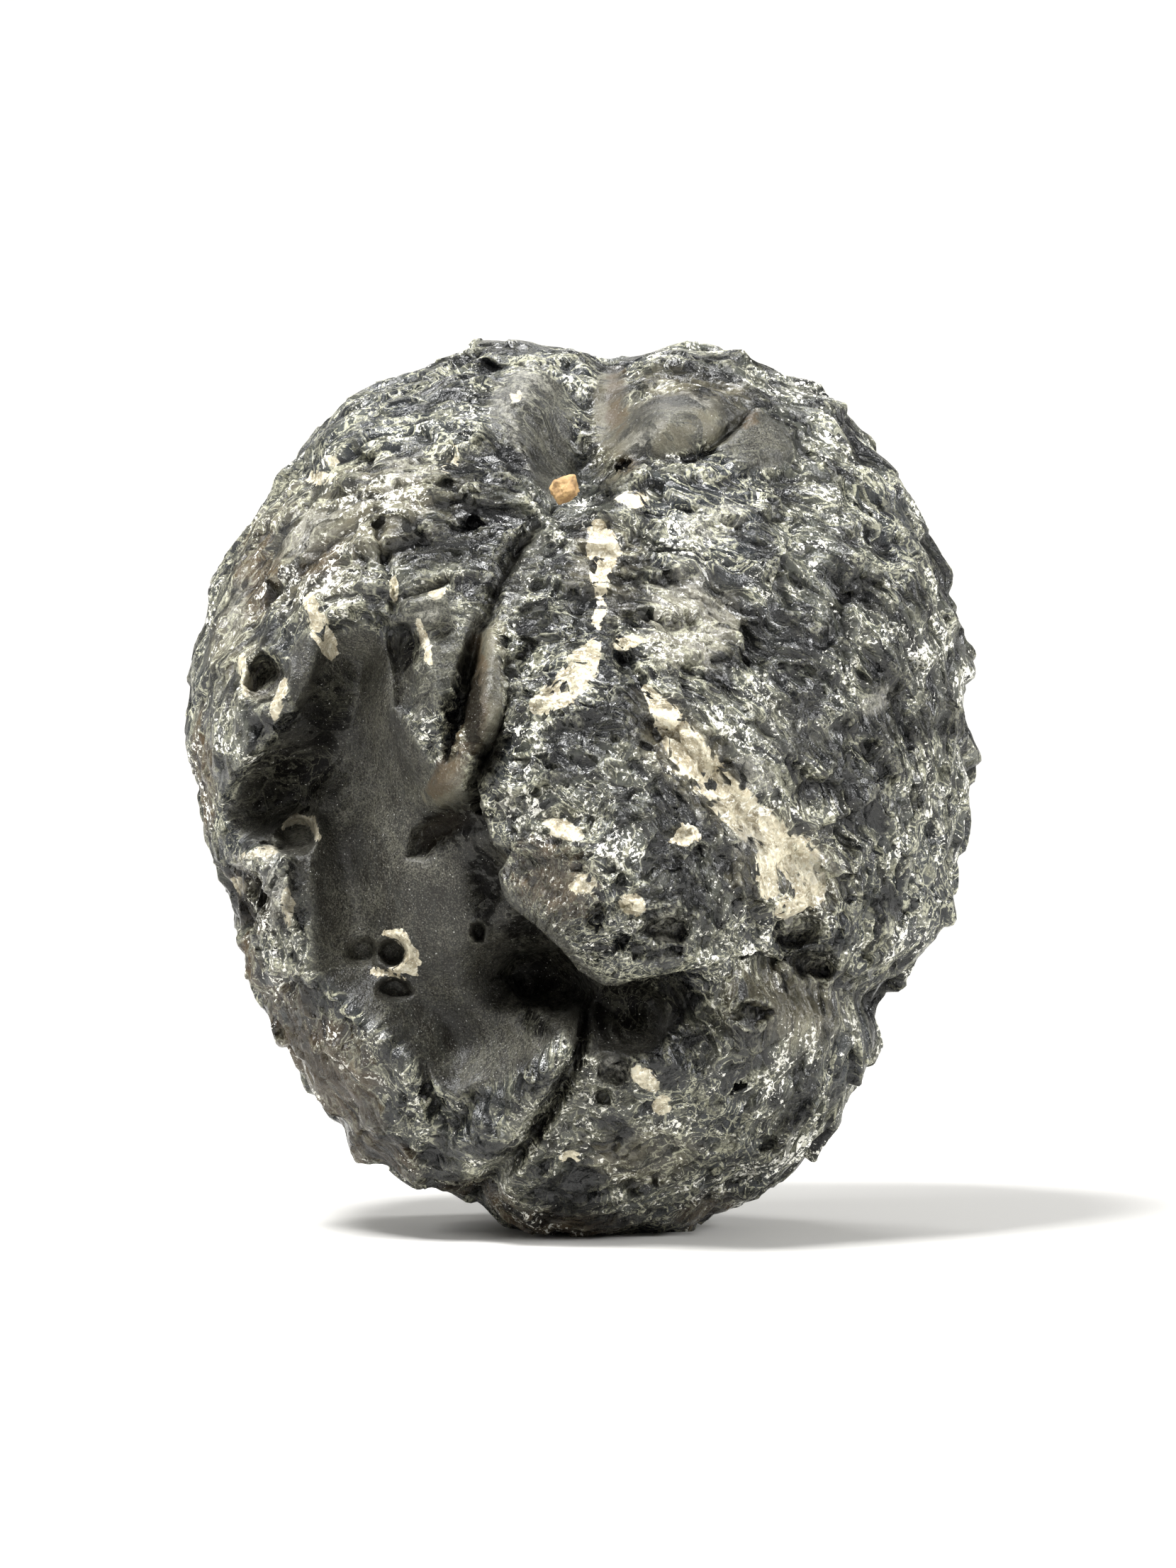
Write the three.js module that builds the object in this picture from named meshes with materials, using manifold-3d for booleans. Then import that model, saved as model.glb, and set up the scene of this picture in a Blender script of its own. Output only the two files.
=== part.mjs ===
// A rough obsidian nodule, one lump of volcanic glass: a raised plate over its face, a smooth
// hollow beside the plate, a cleft at the top with a grain of sand lodged in it, fissures and
// small gas pits, and a skin of shallow chips. It stands on a small flat at its foot.
// Millimetres, +Z up, the worked face towards -Y, the foot's flat at z = 0.

import * as THREE from 'three';
import { mergeVertices } from 'three/addons/utils/BufferGeometryUtils.js';
import { SimplifyModifier } from 'three/addons/modifiers/SimplifyModifier.js';
import Module from 'manifold-3d';

const wasm = await Module();
wasm.setup();

// Driving dimensions. Points and radii on the two faces are in the plane of X and Z.

const body = {
  centreHeight: 23,
  frontDepth: 16.2,
  backDepth: 16.2,
  inset: 0.15,         // the chips stand out to the outline
  fullness: 0.92,      // below 1 the front and back are flatter than an ellipsoid's
  footCut: 0.6,        // the foot's flat, above the lowest point of the outline
  middle: [0.24, -0.91], // x, y of the middle of the nodule's box, which goes to the origin
  detail: 70,          // of the ball that is shaped: 20 * (detail + 1)^2 triangles
  frontCrowding: 0.25, // more and smaller triangles on the worked face
  corners: 4550,       // left after the nearly flat triangles are joined
};

const skin = {
  swellSize: 9, swellHeight: 0.55,
  lumpSize: 4.5, lumpHeight: 0.4,
  chipSize: 2.6, chipStrength: 0.42,
  stretch: 1.5, tilt: 1.3, dip: 0.4, scoop: 0.2,
  sharpness: 22,       // how quickly one chip's slope gives way to the next one's
  bulge: 1.15,         // the chips and lumps lean towards the two faces
  outlineShare: 0.5,   // of the lumps' height, left at the outline
  swellSeed: 3, lumpSeed: 5, chipSeed: 11, chipTiltSeed: 18,
};

const pitRim = { inner: 0.55, outer: 1.12, at: 1.25, width: 0.22 }; // in parts of a pit's radius

const grain = {
  centre: [-0.75, 37.75],
  size: [0.72, 0.62, 0.68],
  clearance: 0.32,
  detail: 1,
  unevenness: 0.25,
  lumpSize: 0.7,
  lumpSeed: 17,
};

const floorBlock = { width: 60, thickness: 10 }; // cuts the foot's flat

// The nodule's outline seen from the front, clockwise from the top: x, z.
const outline = [
  [0.2, 46.0], [1.7, 45.6], [3.2, 45.8], [4.8, 46.1], [6.8, 45.7], [8.8, 45.2], [10.8, 44.3],
  [12.8, 43.0], [14.6, 41.4], [16.3, 39.4], [17.6, 37.4], [18.8, 35.0], [19.5, 32.5], [19.9, 29.8],
  [20.0, 26.8], [19.9, 24.0], [19.5, 21.0], [18.9, 18.5], [18.2, 16.2], [17.1, 14.4], [16.0, 13.2],
  [15.3, 12.0], [15.4, 10.4], [14.8, 8.6], [13.8, 6.9], [12.5, 5.2], [10.9, 3.5], [9.0, 2.3],
  [7.2, 1.5], [6.4, 0.95], [4.8, 0.4], [3.0, 0.0], [1.0, -0.1], [-1.2, 0.1], [-3.0, 0.4],
  [-4.2, 0.9], [-5.3, 1.7], [-6.8, 2.2], [-8.6, 2.7], [-10.2, 3.5], [-11.6, 4.1], [-12.2, 5.6],
  [-13.2, 6.6], [-15.2, 9.9], [-17.0, 12.8], [-17.6, 15.8], [-18.9, 19.3], [-19.8, 23.5],
  [-20.0, 25.5], [-19.7, 30.5], [-18.4, 34.9], [-17.3, 36.8], [-15.1, 39.8], [-12.4, 42.8],
  [-10.6, 43.8], [-6.8, 45.0], [-5.2, 45.6], [-3.4, 46.1], [-1.2, 46.1],
];

// The raised plate's edge, from the top cleft down its left side, round its nose and out to the
// right rim. The plate is on the left of travel: x, z, half width of the wall, overhang, and how
// far the plate's top falls towards the edge.
const plateEdge = [
  [-0.9, 37.6, 0.6, 0, 0], [-1.5, 36.8, 0.45, 0.1, 0], [-3.0, 35.0, 0.45, 0.1, 0],
  [-3.9, 33.0, 0.45, 0.1, 0], [-4.1, 31.0, 0.35, 0.1, 0.2], [-3.4, 28.5, 0.3, 0.15, 0.4],
  [-3.6, 26.3, 0.25, 0.3, 0.5], [-4.8, 23.9, 0.22, 0.4, 0.6], [-4.4, 21.9, 0.22, 0.45, 0.6],
  [-4.0, 20.4, 0.22, 0.3, 0.6], [-3.0, 20.7, 0.22, 0.3, 0.6], [-3.7, 18.9, 0.22, 0.45, 0.8],
  [-3.2, 17.8, 0.2, 0.55, 1.0], [-1.9, 16.9, 0.2, 0.6, 1.2], [-0.8, 15.7, 0.2, 0.6, 1.3],
  [0.2, 14.2, 0.2, 0.6, 1.3], [1.4, 13.5, 0.2, 0.6, 1.3], [2.5, 14.1, 0.2, 0.6, 1.2],
  [4.3, 14.3, 0.22, 0.5, 1.1], [6.9, 14.7, 0.3, 0.4, 0.8], [7.6, 16.0, 0.5, 0.1, 0.4],
  [8.7, 17.3, 0.9, 0, 0], [10.6, 15.6, 1.5, 0, 0], [13.0, 13.6, 1.4, 0, 0], [15.5, 12.3, 1.0, 0, 0],
];
const lipFade = 1.1;
const overhangReach = 0.8;

const hollow = {
  depth: 3.9,
  outline: [
    [-12.8, 31.0], [-10.4, 31.5], [-8.8, 30.6], [-8.4, 27.5], [-7.6, 25.5], [-6.4, 24.0],
    [-4.0, 23.0], [-2.0, 20.0], [1.0, 16.5], [2.0, 12.0], [-0.6, 11.2], [-2.4, 9.4], [-4.2, 8.2],
    [-6.2, 7.6], [-7.8, 8.6], [-9.0, 10.2], [-11.5, 12.4], [-13.4, 14.0], [-13.8, 17.5],
    [-14.4, 19.6], [-17.4, 20.6], [-18.0, 22.2], [-17.2, 23.8], [-15.6, 25.4], [-14.2, 27.0],
    [-13.2, 29.0],
  ],
};

// Round swellings and dents: x, z, radius, radius, turn in degrees, height.
const dentsBelowPlate = [
  [-13.2, 23.6, 5.5, 5.0, 20, -1.8], [-11.2, 18.5, 3.2, 8.0, 0, -0.8],
  [-2.2, 14.4, 4.2, 3.2, 0, -3.6], [-5.5, 11.5, 5.0, 3.5, 0, -0.7], [3.2, 12.9, 5.4, 3.2, 0, -4.0],
  [9.5, 15.2, 5.5, 3.2, -20, -2.0], [14.2, 12.6, 4.5, 2.2, -35, -1.4],
  [-4.2, 18.6, 1.8, 3.0, 0, -1.2],
];
const frontSwells = [
  [2.2, 22.5, 9.5, 13.0, 0, 2.3], [2.6, 17.6, 8.0, 5.0, 0, 1.3], [-9.0, 37.0, 8.0, 7.5, 20, 1.6],
  [-13.0, 35.0, 3.2, 3.4, 0, 0.8], [-17.0, 26.5, 3.2, 5.0, -20, 0.6], [8.0, 7.6, 8.0, 6.5, 10, 1.4],
  [11.5, 30.0, 9.0, 11.0, 0, 0.7], [-11.5, 8.2, 4.0, 4.0, 30, 0.6], [0.6, 41.8, 3.8, 6.5, -8, -2.4],
  [-0.6, 39.2, 2.4, 3.2, 20, -1.6], [1.7, 45.5, 1.6, 3.0, 0, -0.9], [4.6, 41.4, 3.9, 1.8, 14, 1.2],
  [5.4, 43.3, 3.4, 1.0, -6, 0.5], [-6.1, 23.4, 1.6, 1.1, 25, 1.0], [6.5, 35.0, 6.0, 4.0, -15, 0.5],
  [1.2, 34.5, 3.0, 3.5, 0, 0.6],
];
const backSwells = [
  [-6.0, 30.0, 11.0, 12.0, 0, 1.3], [9.0, 31.0, 9.0, 10.0, -15, 1.5], [2.0, 10.0, 9.0, 7.0, 0, 1.4],
  [-13.0, 13.0, 6.0, 8.0, 25, 0.9], [1.6, 42.0, 3.0, 7.0, 4, -2.0], [6.0, 21.0, 7.5, 6.0, 25, -2.6],
  [4.0, 20.0, 4.0, 3.2, 20, -1.0], [-11.0, 21.5, 4.5, 3.2, -20, -1.3],
];

// Ledges: raised on one side of a path, left (1) or right (-1), and fading away from it.
// Path: x, z, height, half width of the wall.
const frontLedges = [
  { name: 'right rim of the cleft', side: -1, fade: 4.0, path: [
    [-1.3, 37.0, 0.5, 0.25], [-0.2, 37.6, 0.9, 0.22], [1.2, 38.3, 1.2, 0.2], [2.7, 39.1, 1.2, 0.2],
    [4.0, 39.1, 0.8, 0.25], [5.4, 39.3, 0.4, 0.3], [6.5, 39.7, 0, 0.4]] },
  { name: 'left rim of the cleft', side: 1, fade: 3.0, path: [
    [-1.5, 36.8, 0.3, 0.3], [-2.2, 37.6, 0.7, 0.22], [-3.2, 38.9, 0.9, 0.25],
    [-4.4, 40.4, 0.7, 0.35], [-5.2, 42.0, 0.2, 0.5]] },
  { name: 'upper rim of the hollow', side: 1, fade: 2.6, path: [
    [-18.4, 21.6, 0.3, 0.3], [-17.3, 23.6, 1.0, 0.3], [-15.8, 25.1, 1.4, 0.3],
    [-14.4, 26.5, 1.4, 0.3], [-13.2, 28.2, 1.2, 0.3], [-12.6, 29.8, 1.0, 0.3],
    [-12.2, 31.2, 0.9, 0.3], [-10.4, 31.8, 1.0, 0.35], [-9.2, 31.5, 0.9, 0.3],
    [-8.8, 30.2, 0.3, 0.4]] },
  { name: 'crease in the hollow', side: -1, fade: 1.6, path: [
    [-13.3, 12.6, 0.3, 0.3], [-13.7, 14.6, 0.5, 0.3], [-13.3, 17.0, 0.5, 0.3],
    [-13.5, 19.4, 0.6, 0.25], [-13.1, 21.0, 0.9, 0.2], [-13.2, 22.4, 0.8, 0.25],
    [-13.8, 23.4, 0.2, 0.5]] },
  { name: 'lip by the cleft', side: -1, fade: 1.5, path: [
    [9.6, 42.6, 0.3, 0.3], [10.9, 41.4, 0.5, 0.2], [11.0, 40.2, 0.4, 0.25], [9.0, 39.4, 0.3, 0.3]] },
];
const backLedges = [
  { name: 'upper rim of the back hollow', side: 1, fade: 2.8, path: [
    [-1.6, 19.0, 0.3, 0.3], [-1.2, 21.6, 1.0, 0.3], [0.4, 24.2, 1.4, 0.3], [3.2, 25.9, 1.6, 0.3],
    [6.8, 26.6, 1.5, 0.3], [10.2, 26.2, 1.1, 0.35], [13.2, 24.4, 0.5, 0.4]] },
  { name: 'lower rim of the back hollow', side: -1, fade: 2.2, path: [
    [-3.0, 15.6, 0.2, 0.3], [0.4, 14.9, 0.9, 0.3], [3.6, 14.2, 1.1, 0.25], [7.2, 14.6, 1.0, 0.3],
    [10.4, 15.9, 0.5, 0.4]] },
  { name: 'shoulder', side: -1, fade: 2.4, path: [
    [-16.0, 28.0, 0.3, 0.4], [-12.8, 26.6, 0.9, 0.3], [-9.4, 26.2, 1.1, 0.3],
    [-6.0, 27.2, 0.9, 0.3], [-3.4, 29.4, 0.3, 0.4]] },
];

// Grooves, and ribs where the depth is negative. Path: x, z, half width, depth.
const frontGrooves = [
  { name: 'upper fissure', path: [
    [-1.4, 36.9, 0.5, 0.7], [-3.1, 35.0, 0.5, 0.8], [-4.0, 33.0, 0.5, 0.7], [-4.5, 31.2, 0.45, 0.7]] },
  { name: 'slot beside the plate', path: [
    [-4.8, 31.4, 0.35, 0.3], [-5.2, 29.6, 0.5, 1.8], [-5.6, 27.8, 0.5, 2.4], [-6.0, 26.2, 0.45, 1.9],
    [-6.3, 24.7, 0.3, 0.6]] },
  { name: 'gap under the plate', path: [
    [-3.5, 27.4, 0.3, 0.4], [-3.9, 26.0, 0.45, 2.0], [-4.6, 24.7, 0.6, 2.8], [-5.1, 23.4, 0.5, 2.4],
    [-5.0, 22.3, 0.4, 1.4]] },
  { name: 'spindle rib', path: [
    [-4.3, 31.0, 0.4, -0.3], [-4.2, 29.5, 0.7, -0.9], [-4.35, 28.0, 0.9, -1.4],
    [-4.7, 26.5, 0.95, -1.6], [-5.2, 25.3, 0.8, -1.3], [-5.7, 24.4, 0.6, -0.7]] },
  { name: 'lower fissure', path: [
    [0.6, 13.9, 0.4, 1.0], [0.3, 12.0, 0.45, 1.3], [-0.2, 10.2, 0.45, 1.5], [-1.0, 8.2, 0.5, 1.6],
    [-2.5, 6.0, 0.55, 1.7], [-4.2, 4.1, 0.7, 2.2], [-5.2, 2.8, 0.9, 2.8], [-5.6, 1.2, 1.2, 3.0]] },
  { name: 'leaf-shaped lobe', path: [
    [-0.5, 11.0, 0.9, -0.4], [-1.4, 9.4, 1.5, -1.0], [-3.0, 7.2, 1.9, -1.5], [-4.6, 5.2, 2.0, -1.5],
    [-6.2, 3.4, 1.5, -0.8]] },
  { name: 'behind the lobe', path: [
    [-3.2, 9.2, 0.6, 0.4], [-5.0, 7.8, 0.8, 0.8], [-6.6, 6.4, 0.8, 0.8], [-7.8, 4.6, 0.7, 0.5]] },
  { name: 'crack below the hollow', path: [
    [-7.7, 9.6, 0.2, 0.4], [-7.6, 8.4, 0.3, 1.2], [-7.3, 7.2, 0.5, 0.9]] },
  { name: 'vein across the plate', path: [
    [2.8, 28.2, 0.8, 0.4], [4.2, 25.8, 1.2, 0.8], [5.8, 24.1, 1.3, 0.9], [7.6, 22.0, 1.3, 0.9],
    [9.6, 20.3, 1.6, 0.8], [11.2, 18.4, 1.6, 0.6]] },
  { name: 'notch on the right', path: [
    [12.3, 34.2, 0.4, 0.3], [12.9, 32.6, 0.6, 0.9], [12.8, 31.0, 0.6, 0.9], [11.9, 30.2, 0.4, 0.3]] },
  { name: 'slit by the cleft', path: [
    [5.2, 39.5, 0.2, 0.3], [6.2, 40.0, 0.28, 0.9], [7.2, 40.8, 0.32, 1.1], [8.0, 41.5, 0.3, 0.9],
    [8.7, 42.3, 0.2, 0.2]] },
  { name: 'left rib', path: [
    [-7.5, 30.8, 0.5, -0.3], [-7.2, 29.3, 0.6, -0.7], [-6.9, 27.6, 0.6, -0.6],
    [-6.5, 26.0, 0.5, -0.3]] },
  { name: 'crack over the hollow', path: [
    [-9.8, 36.2, 0.25, 0.3], [-9.6, 34.4, 0.35, 0.7], [-9.0, 33.2, 0.3, 0.5],
    [-9.0, 31.8, 0.3, 0.6]] },
  { name: 'step at the upper left', path: [
    [-14.0, 39.4, 0.5, 0.6], [-13.2, 38.2, 0.6, 0.9], [-13.6, 37.2, 0.4, 0.3]] },
  { name: 'groove on the right shoulder', path: [
    [11.0, 40.4, 0.4, 0.4], [12.6, 38.6, 0.5, 0.7], [14.6, 36.4, 0.5, 0.6],
    [15.6, 33.6, 0.5, 0.4]] },
  { name: 'step at the foot', path: [
    [0.6, 3.0, 0.4, 0.4], [2.6, 3.6, 0.5, 0.8], [4.6, 3.9, 0.4, 0.4]] },
  { name: 'notch at the foot', path: [
    [6.5, 3.8, 0.4, 0.3], [6.4, 2.2, 0.6, 0.9], [6.4, 0.6, 0.8, 1.4]] },
];
const backGrooves = [
  { name: 'back fissure', path: [
    [1.6, 45.0, 0.6, 0.6], [1.2, 41.0, 0.6, 1.2], [0.2, 37.0, 0.55, 1.4], [-1.0, 33.2, 0.5, 1.3],
    [-1.2, 30.0, 0.5, 1.1], [-0.2, 27.0, 0.5, 0.7]] },
  { name: 'crack on the left', path: [
    [-9.0, 38.6, 0.3, 0.4], [-7.2, 36.6, 0.45, 0.9], [-6.6, 34.2, 0.45, 0.9], [-7.4, 31.6, 0.3, 0.4]] },
  { name: 'crack on the right', path: [
    [11.4, 36.0, 0.3, 0.3], [12.4, 33.8, 0.5, 1.0], [12.2, 31.4, 0.5, 0.9], [11.2, 29.6, 0.3, 0.3]] },
  { name: 'fissure to the foot', path: [
    [-2.4, 11.0, 0.4, 0.4], [-3.6, 8.2, 0.5, 1.0], [-4.2, 5.2, 0.6, 1.3], [-5.2, 2.4, 0.9, 2.0],
    [-5.6, 1.0, 1.1, 2.2]] },
];

// Broken-out and raised flats: closed outline, height and half width of the wall.
const flats = [
  { name: 'band across the hollow', height: -0.8, wall: 0.3, outline: [
    [-8.4, 19.9], [-8.1, 21.1], [-6.6, 22.3], [-5.0, 22.9], [-4.4, 21.9], [-4.6, 21.0],
    [-6.0, 21.2], [-7.0, 20.3], [-7.7, 19.8]] },
  { name: 'recess at the hollow rim', height: -0.9, wall: 0.18, outline: [
    [-9.2, 31.0], [-8.4, 31.2], [-7.9, 30.4], [-8.1, 29.0], [-7.7, 27.4], [-8.2, 26.7],
    [-8.9, 27.2], [-9.0, 28.8], [-9.3, 30.2]] },
  { name: 'chip on the left rim', height: -1.7, wall: 0.25, outline: [
    [-18.9, 19.4], [-17.0, 19.4], [-15.8, 19.0], [-15.3, 18.4], [-15.4, 17.2], [-16.1, 16.3],
    [-17.4, 15.7], [-18.6, 16.6]] },
  { name: 'cavity under the plate', height: -1.6, wall: 0.3, outline: [
    [-3.9, 14.0], [-3.3, 14.9], [-2.3, 15.2], [-0.9, 15.3], [0.2, 14.2], [0.2, 12.6],
    [-1.2, 12.2], [-2.8, 12.8]] },
  { name: 'plane below the nose', height: -0.8, wall: 0.25, outline: [
    [0.9, 13.4], [3.6, 13.6], [4.2, 12.0], [3.9, 10.6], [2.3, 10.4], [0.7, 10.6]] },
];

// Gas pits: x, z, radius, radius, turn in degrees, depth, height of the rim.
const frontPits = [
  [-15.6, 28.6, 1.05, 1.25, -20, 1.7, 0.35], [-14.0, 20.9, 0.95, 0.9, 0, 1.3, 0.25],
  [-9.3, 15.1, 0.75, 0.7, 20, 1.3, 0.3], [-10.8, 15.1, 0.9, 0.7, 0, 0.6, 0.1],
  [-9.2, 13.2, 0.85, 0.6, 0, 0.9, 0.1], [4.2, 16.7, 1.15, 0.75, 0, 1.5, 0.2],
  [0.9, 17.1, 0.55, 0.75, -15, 1.1, 0.15], [10.6, 16.3, 1.3, 0.9, 15, 1.6, 0.3],
  [11.7, 14.5, 1.1, 0.85, 0, 1.6, 0.3], [8.3, 12.3, 1.1, 0.5, 5, 0.9, 0.2],
  [5.7, 10.5, 1.1, 0.95, 0, 0.7, 0.15],
];
const backPits = [
  [7.6, 22.4, 1.1, 0.9, 10, 1.2, 0.25], [3.2, 18.4, 0.8, 0.7, 0, 1.0, 0.2],
  [-11.8, 22.2, 1.0, 0.8, 0, 1.2, 0.25], [-5.4, 12.4, 0.9, 0.8, 0, 1.1, 0.2],
  [9.4, 9.4, 1.0, 0.7, 20, 1.0, 0.2], [-13.6, 32.6, 1.1, 0.9, 0, 1.3, 0.3],
];

// Patches without chips: x, z, radius, radius, turn in degrees.
const frontCalm = [
  [4.4, 41.3, 3.8, 1.7, 14], [8.6, 40.6, 2.4, 1.7, -20], [-2.4, 42.0, 2.4, 2.6, 20],
  [-1.5, 39.6, 1.3, 2.4, 15], [1.8, 12.0, 3.0, 2.2, 0], [-13.0, 28.5, 1.4, 2.6, 10],
  [-8.8, 28.8, 0.9, 2.4, 0], [-2.0, 6.6, 1.6, 4.4, -33],
];
const backCalm = [[5.6, 20.6, 7.0, 4.6, 20], [-11.0, 21.5, 3.6, 2.4, -20]];

const glass = new THREE.MeshStandardMaterial({ color: 0x2e3233, roughness: 0.35, metalness: 0 });
const sandstone = new THREE.MeshStandardMaterial({ color: 0xc9a070, roughness: 0.85, metalness: 0 });

// Plane geometry

const { clamp, degToRad, smoothstep } = THREE.MathUtils;

function dome(r) {
  return r < 1 ? (1 - r * r) ** 2 : 0;
}

function scaledRadius(x, z, [cx, cz, rx, rz, turn]) {
  const c = Math.cos(degToRad(turn));
  const s = Math.sin(degToRad(turn));
  return Math.hypot(((x - cx) * c + (z - cz) * s) / rx, (-(x - cx) * s + (z - cz) * c) / rz);
}

// Nearest point of a path: its distance, its place along the path, the side (1 on the left of
// travel) and the point itself.
function nearest(x, z, path) {
  const best = { distance: Infinity };
  for (let i = 0; i + 1 < path.length; i += 1) {
    const [ax, az] = path[i];
    const ex = path[i + 1][0] - ax;
    const ez = path[i + 1][1] - az;
    const t = clamp(((x - ax) * ex + (z - az) * ez) / (ex * ex + ez * ez), 0, 1);
    const px = ax + t * ex;
    const pz = az + t * ez;
    const distance = Math.hypot(x - px, z - pz);
    if (distance < best.distance - 1e-9) {
      Object.assign(best, { distance, px, pz, run: i + t });
      best.side = Math.sign(ex * (z - az) - ez * (x - ax));
    }
  }
  return best;
}

function along(run, path, column) {
  const i = Math.min(Math.floor(run), path.length - 2);
  return THREE.MathUtils.lerp(path[i][column], path[i + 1][column], run - i);
}

function insideDistance(x, z, points) {
  const closed = [...points, points[0]];
  let inside = false;
  for (let i = 0; i + 1 < closed.length; i += 1) {
    const [ax, az] = closed[i];
    const [bx, bz] = closed[i + 1];
    if ((az > z) !== (bz > z) && x < ((bx - ax) * (z - az)) / (bz - az) + ax) inside = !inside;
  }
  const { distance } = nearest(x, z, closed);
  return inside ? distance : -distance;
}

// The same hash for every run: cell numbers to three values from 0 to 1.
function cellValues(i, j, k, seed) {
  let h = Math.imul(i, 0x27d4eb2d) ^ Math.imul(j, 0x165667b1) ^ Math.imul(k, 0x9e3779b1);
  h ^= Math.imul(seed, 0x85ebca6b);
  h = Math.imul(h ^ (h >>> 15), 0x2c1b3c6d);
  h = Math.imul(h ^ (h >>> 12), 0x297a2d39);
  h ^= h >>> 15;
  return [(h & 1023) / 1023, ((h >>> 10) & 1023) / 1023, ((h >>> 20) & 1023) / 1023];
}

// Smooth lumps from -1 to 1.
function lumps(point, size, seed) {
  const q = point.clone().divideScalar(size);
  const cell = q.clone().floor();
  const f = q.sub(cell).toArray().map((t) => t * t * t * (t * (t * 6 - 15) + 10));
  let sum = 0;
  for (const corner of [0, 1, 2, 3, 4, 5, 6, 7]) {
    const step = [corner & 1, (corner >> 1) & 1, (corner >> 2) & 1];
    const value = cellValues(cell.x + step[0], cell.y + step[1], cell.z + step[2], seed)[0];
    const weight = step.reduce((w, s, axis) => w * (s ? f[axis] : 1 - f[axis]), 1);
    sum += (value * 2 - 1) * weight;
  }
  return sum;
}

// The long side of the chips lies level in the middle of the faces and along the rim outside.
function chipDirection(x, z) {
  const r = Math.hypot(x, z - body.centreHeight) + 1e-9;
  const k = smoothstep(r, 10, 18);
  const turn = z >= body.centreHeight ? 1 : -1;
  const gx = 1 - k + (k * turn * (z - body.centreHeight)) / r;
  const gz = 0.1 * (1 - k) - (k * turn * x) / r;
  const length = Math.hypot(gx, gz) + 1e-9;
  return [gx / length, gz / length];
}

// Overlapping chips: each cell is a shallow scoop with a tilt of its own, lying a little downward.
function chips(point, normal) {
  const size = skin.chipSize;
  const q = point.clone().divideScalar(size);
  const base = q.clone().floor();
  const w = new THREE.Vector3();
  let nearestCell = Infinity;
  let slopes = 0;
  let weights = 0;
  for (let a = -1; a <= 1; a += 1) {
    for (let b = -1; b <= 1; b += 1) {
      for (let c = -1; c <= 1; c += 1) {
        const [i, j, k] = [base.x + a, base.y + b, base.z + c];
        const jitter = cellValues(i, j, k, skin.chipSeed);
        w.set(q.x - i, q.y - j, q.z - k).addScalar(-0.1);
        w.addScaledVector(new THREE.Vector3(...jitter), -0.8);
        const lift = w.dot(normal);
        w.addScaledVector(normal, -lift);
        const [gx, gz] = chipDirection((i + 0.5) * size, (k + 0.5) * size);
        const u = (w.x * gx + w.z * gz) / skin.stretch;
        const v = (-w.x * gz + w.z * gx) * Math.sqrt(skin.stretch);
        const distance = u * u + v * v + w.y * w.y + 0.6 * lift * lift;
        const t = cellValues(i, j, k, skin.chipTiltSeed);
        const lean = (t[0] - 0.5) * w.x + (t[1] - 0.5) * w.y + (t[2] - 0.5) * w.z;
        const weight = Math.exp(-skin.sharpness * distance);
        slopes += weight * (skin.tilt * lean - skin.dip * w.z);
        weights += weight;
        nearestCell = Math.min(nearestCell, distance);
      }
    }
  }
  return (slopes / weights + skin.scoop * (nearestCell - 0.3)) * size;
}

// The plain nodule

const reachPoints = outline
  .map(([x, z]) => ({
    angle: Math.atan2(z - body.centreHeight, x),
    reach: Math.hypot(x, z - body.centreHeight) - body.inset,
  }))
  .sort((a, b) => a.angle - b.angle);

const meanReach = reachPoints.reduce((sum, p) => sum + p.reach, 0) / reachPoints.length;

function wrapped(i) {
  const n = reachPoints.length;
  const turns = Math.floor(i / n);
  const { angle, reach } = reachPoints[i - turns * n];
  return { angle: angle + turns * 2 * Math.PI, reach };
}

function outlineReach(angle) {
  const i = reachPoints.findLastIndex((p) => p.angle <= angle);
  const [p0, p1, p2, p3] = [wrapped(i - 1), wrapped(i), wrapped(i + 1), wrapped(i + 2)];
  const span = p2.angle - p1.angle;
  const u = (angle - p1.angle) / span;
  const m1 = ((p2.reach - p0.reach) / (p2.angle - p0.angle)) * span;
  const m2 = ((p3.reach - p1.reach) / (p3.angle - p1.angle)) * span;
  const u2 = u * u;
  const u3 = u2 * u;
  return (2 * u3 - 3 * u2 + 1) * p1.reach + (u3 - 2 * u2 + u) * m1
    + (3 * u2 - 2 * u3) * p2.reach + (u3 - u2) * m2;
}

function plainPoint(d) {
  const around = outlineReach(Math.atan2(d.z, d.x));
  const reach = THREE.MathUtils.lerp(meanReach, around, smoothstep(Math.hypot(d.x, d.z), 0.15, 0.95));
  const depth = d.y < 0 ? body.frontDepth : body.backDepth;
  return new THREE.Vector3(
    reach * d.x,
    depth * Math.sign(d.y) * Math.abs(d.y) ** body.fullness,
    body.centreHeight + reach * d.z,
  );
}

// Heights on the two faces

function ledgeHeight(x, z, ledges) {
  let height = 0;
  for (const { side, fade, path } of ledges) {
    const near = nearest(x, z, path);
    const over = near.distance * near.side * side;
    const wall = along(near.run, path, 3);
    const fall = Math.exp(-((Math.max(over, 0) / fade) ** 2));
    height += along(near.run, path, 2) * smoothstep(over, -wall, wall) * fall;
  }
  return height;
}

function grooveHeight(x, z, grooves) {
  let height = 0;
  for (const { path } of grooves) {
    const near = nearest(x, z, path);
    const across = near.distance / along(near.run, path, 2);
    height -= along(near.run, path, 3) * Math.max(1 - across * across * 0.5, 0) ** 3;
  }
  return height;
}

function pitHeight(x, z, pits) {
  let height = 0;
  for (const pit of pits) {
    const r = scaledRadius(x, z, pit);
    height -= pit[5] * (1 - smoothstep(r, pitRim.inner, pitRim.outer));
    height += pit[6] * Math.exp(-(((r - pitRim.at) / pitRim.width) ** 2));
  }
  return height;
}

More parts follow.
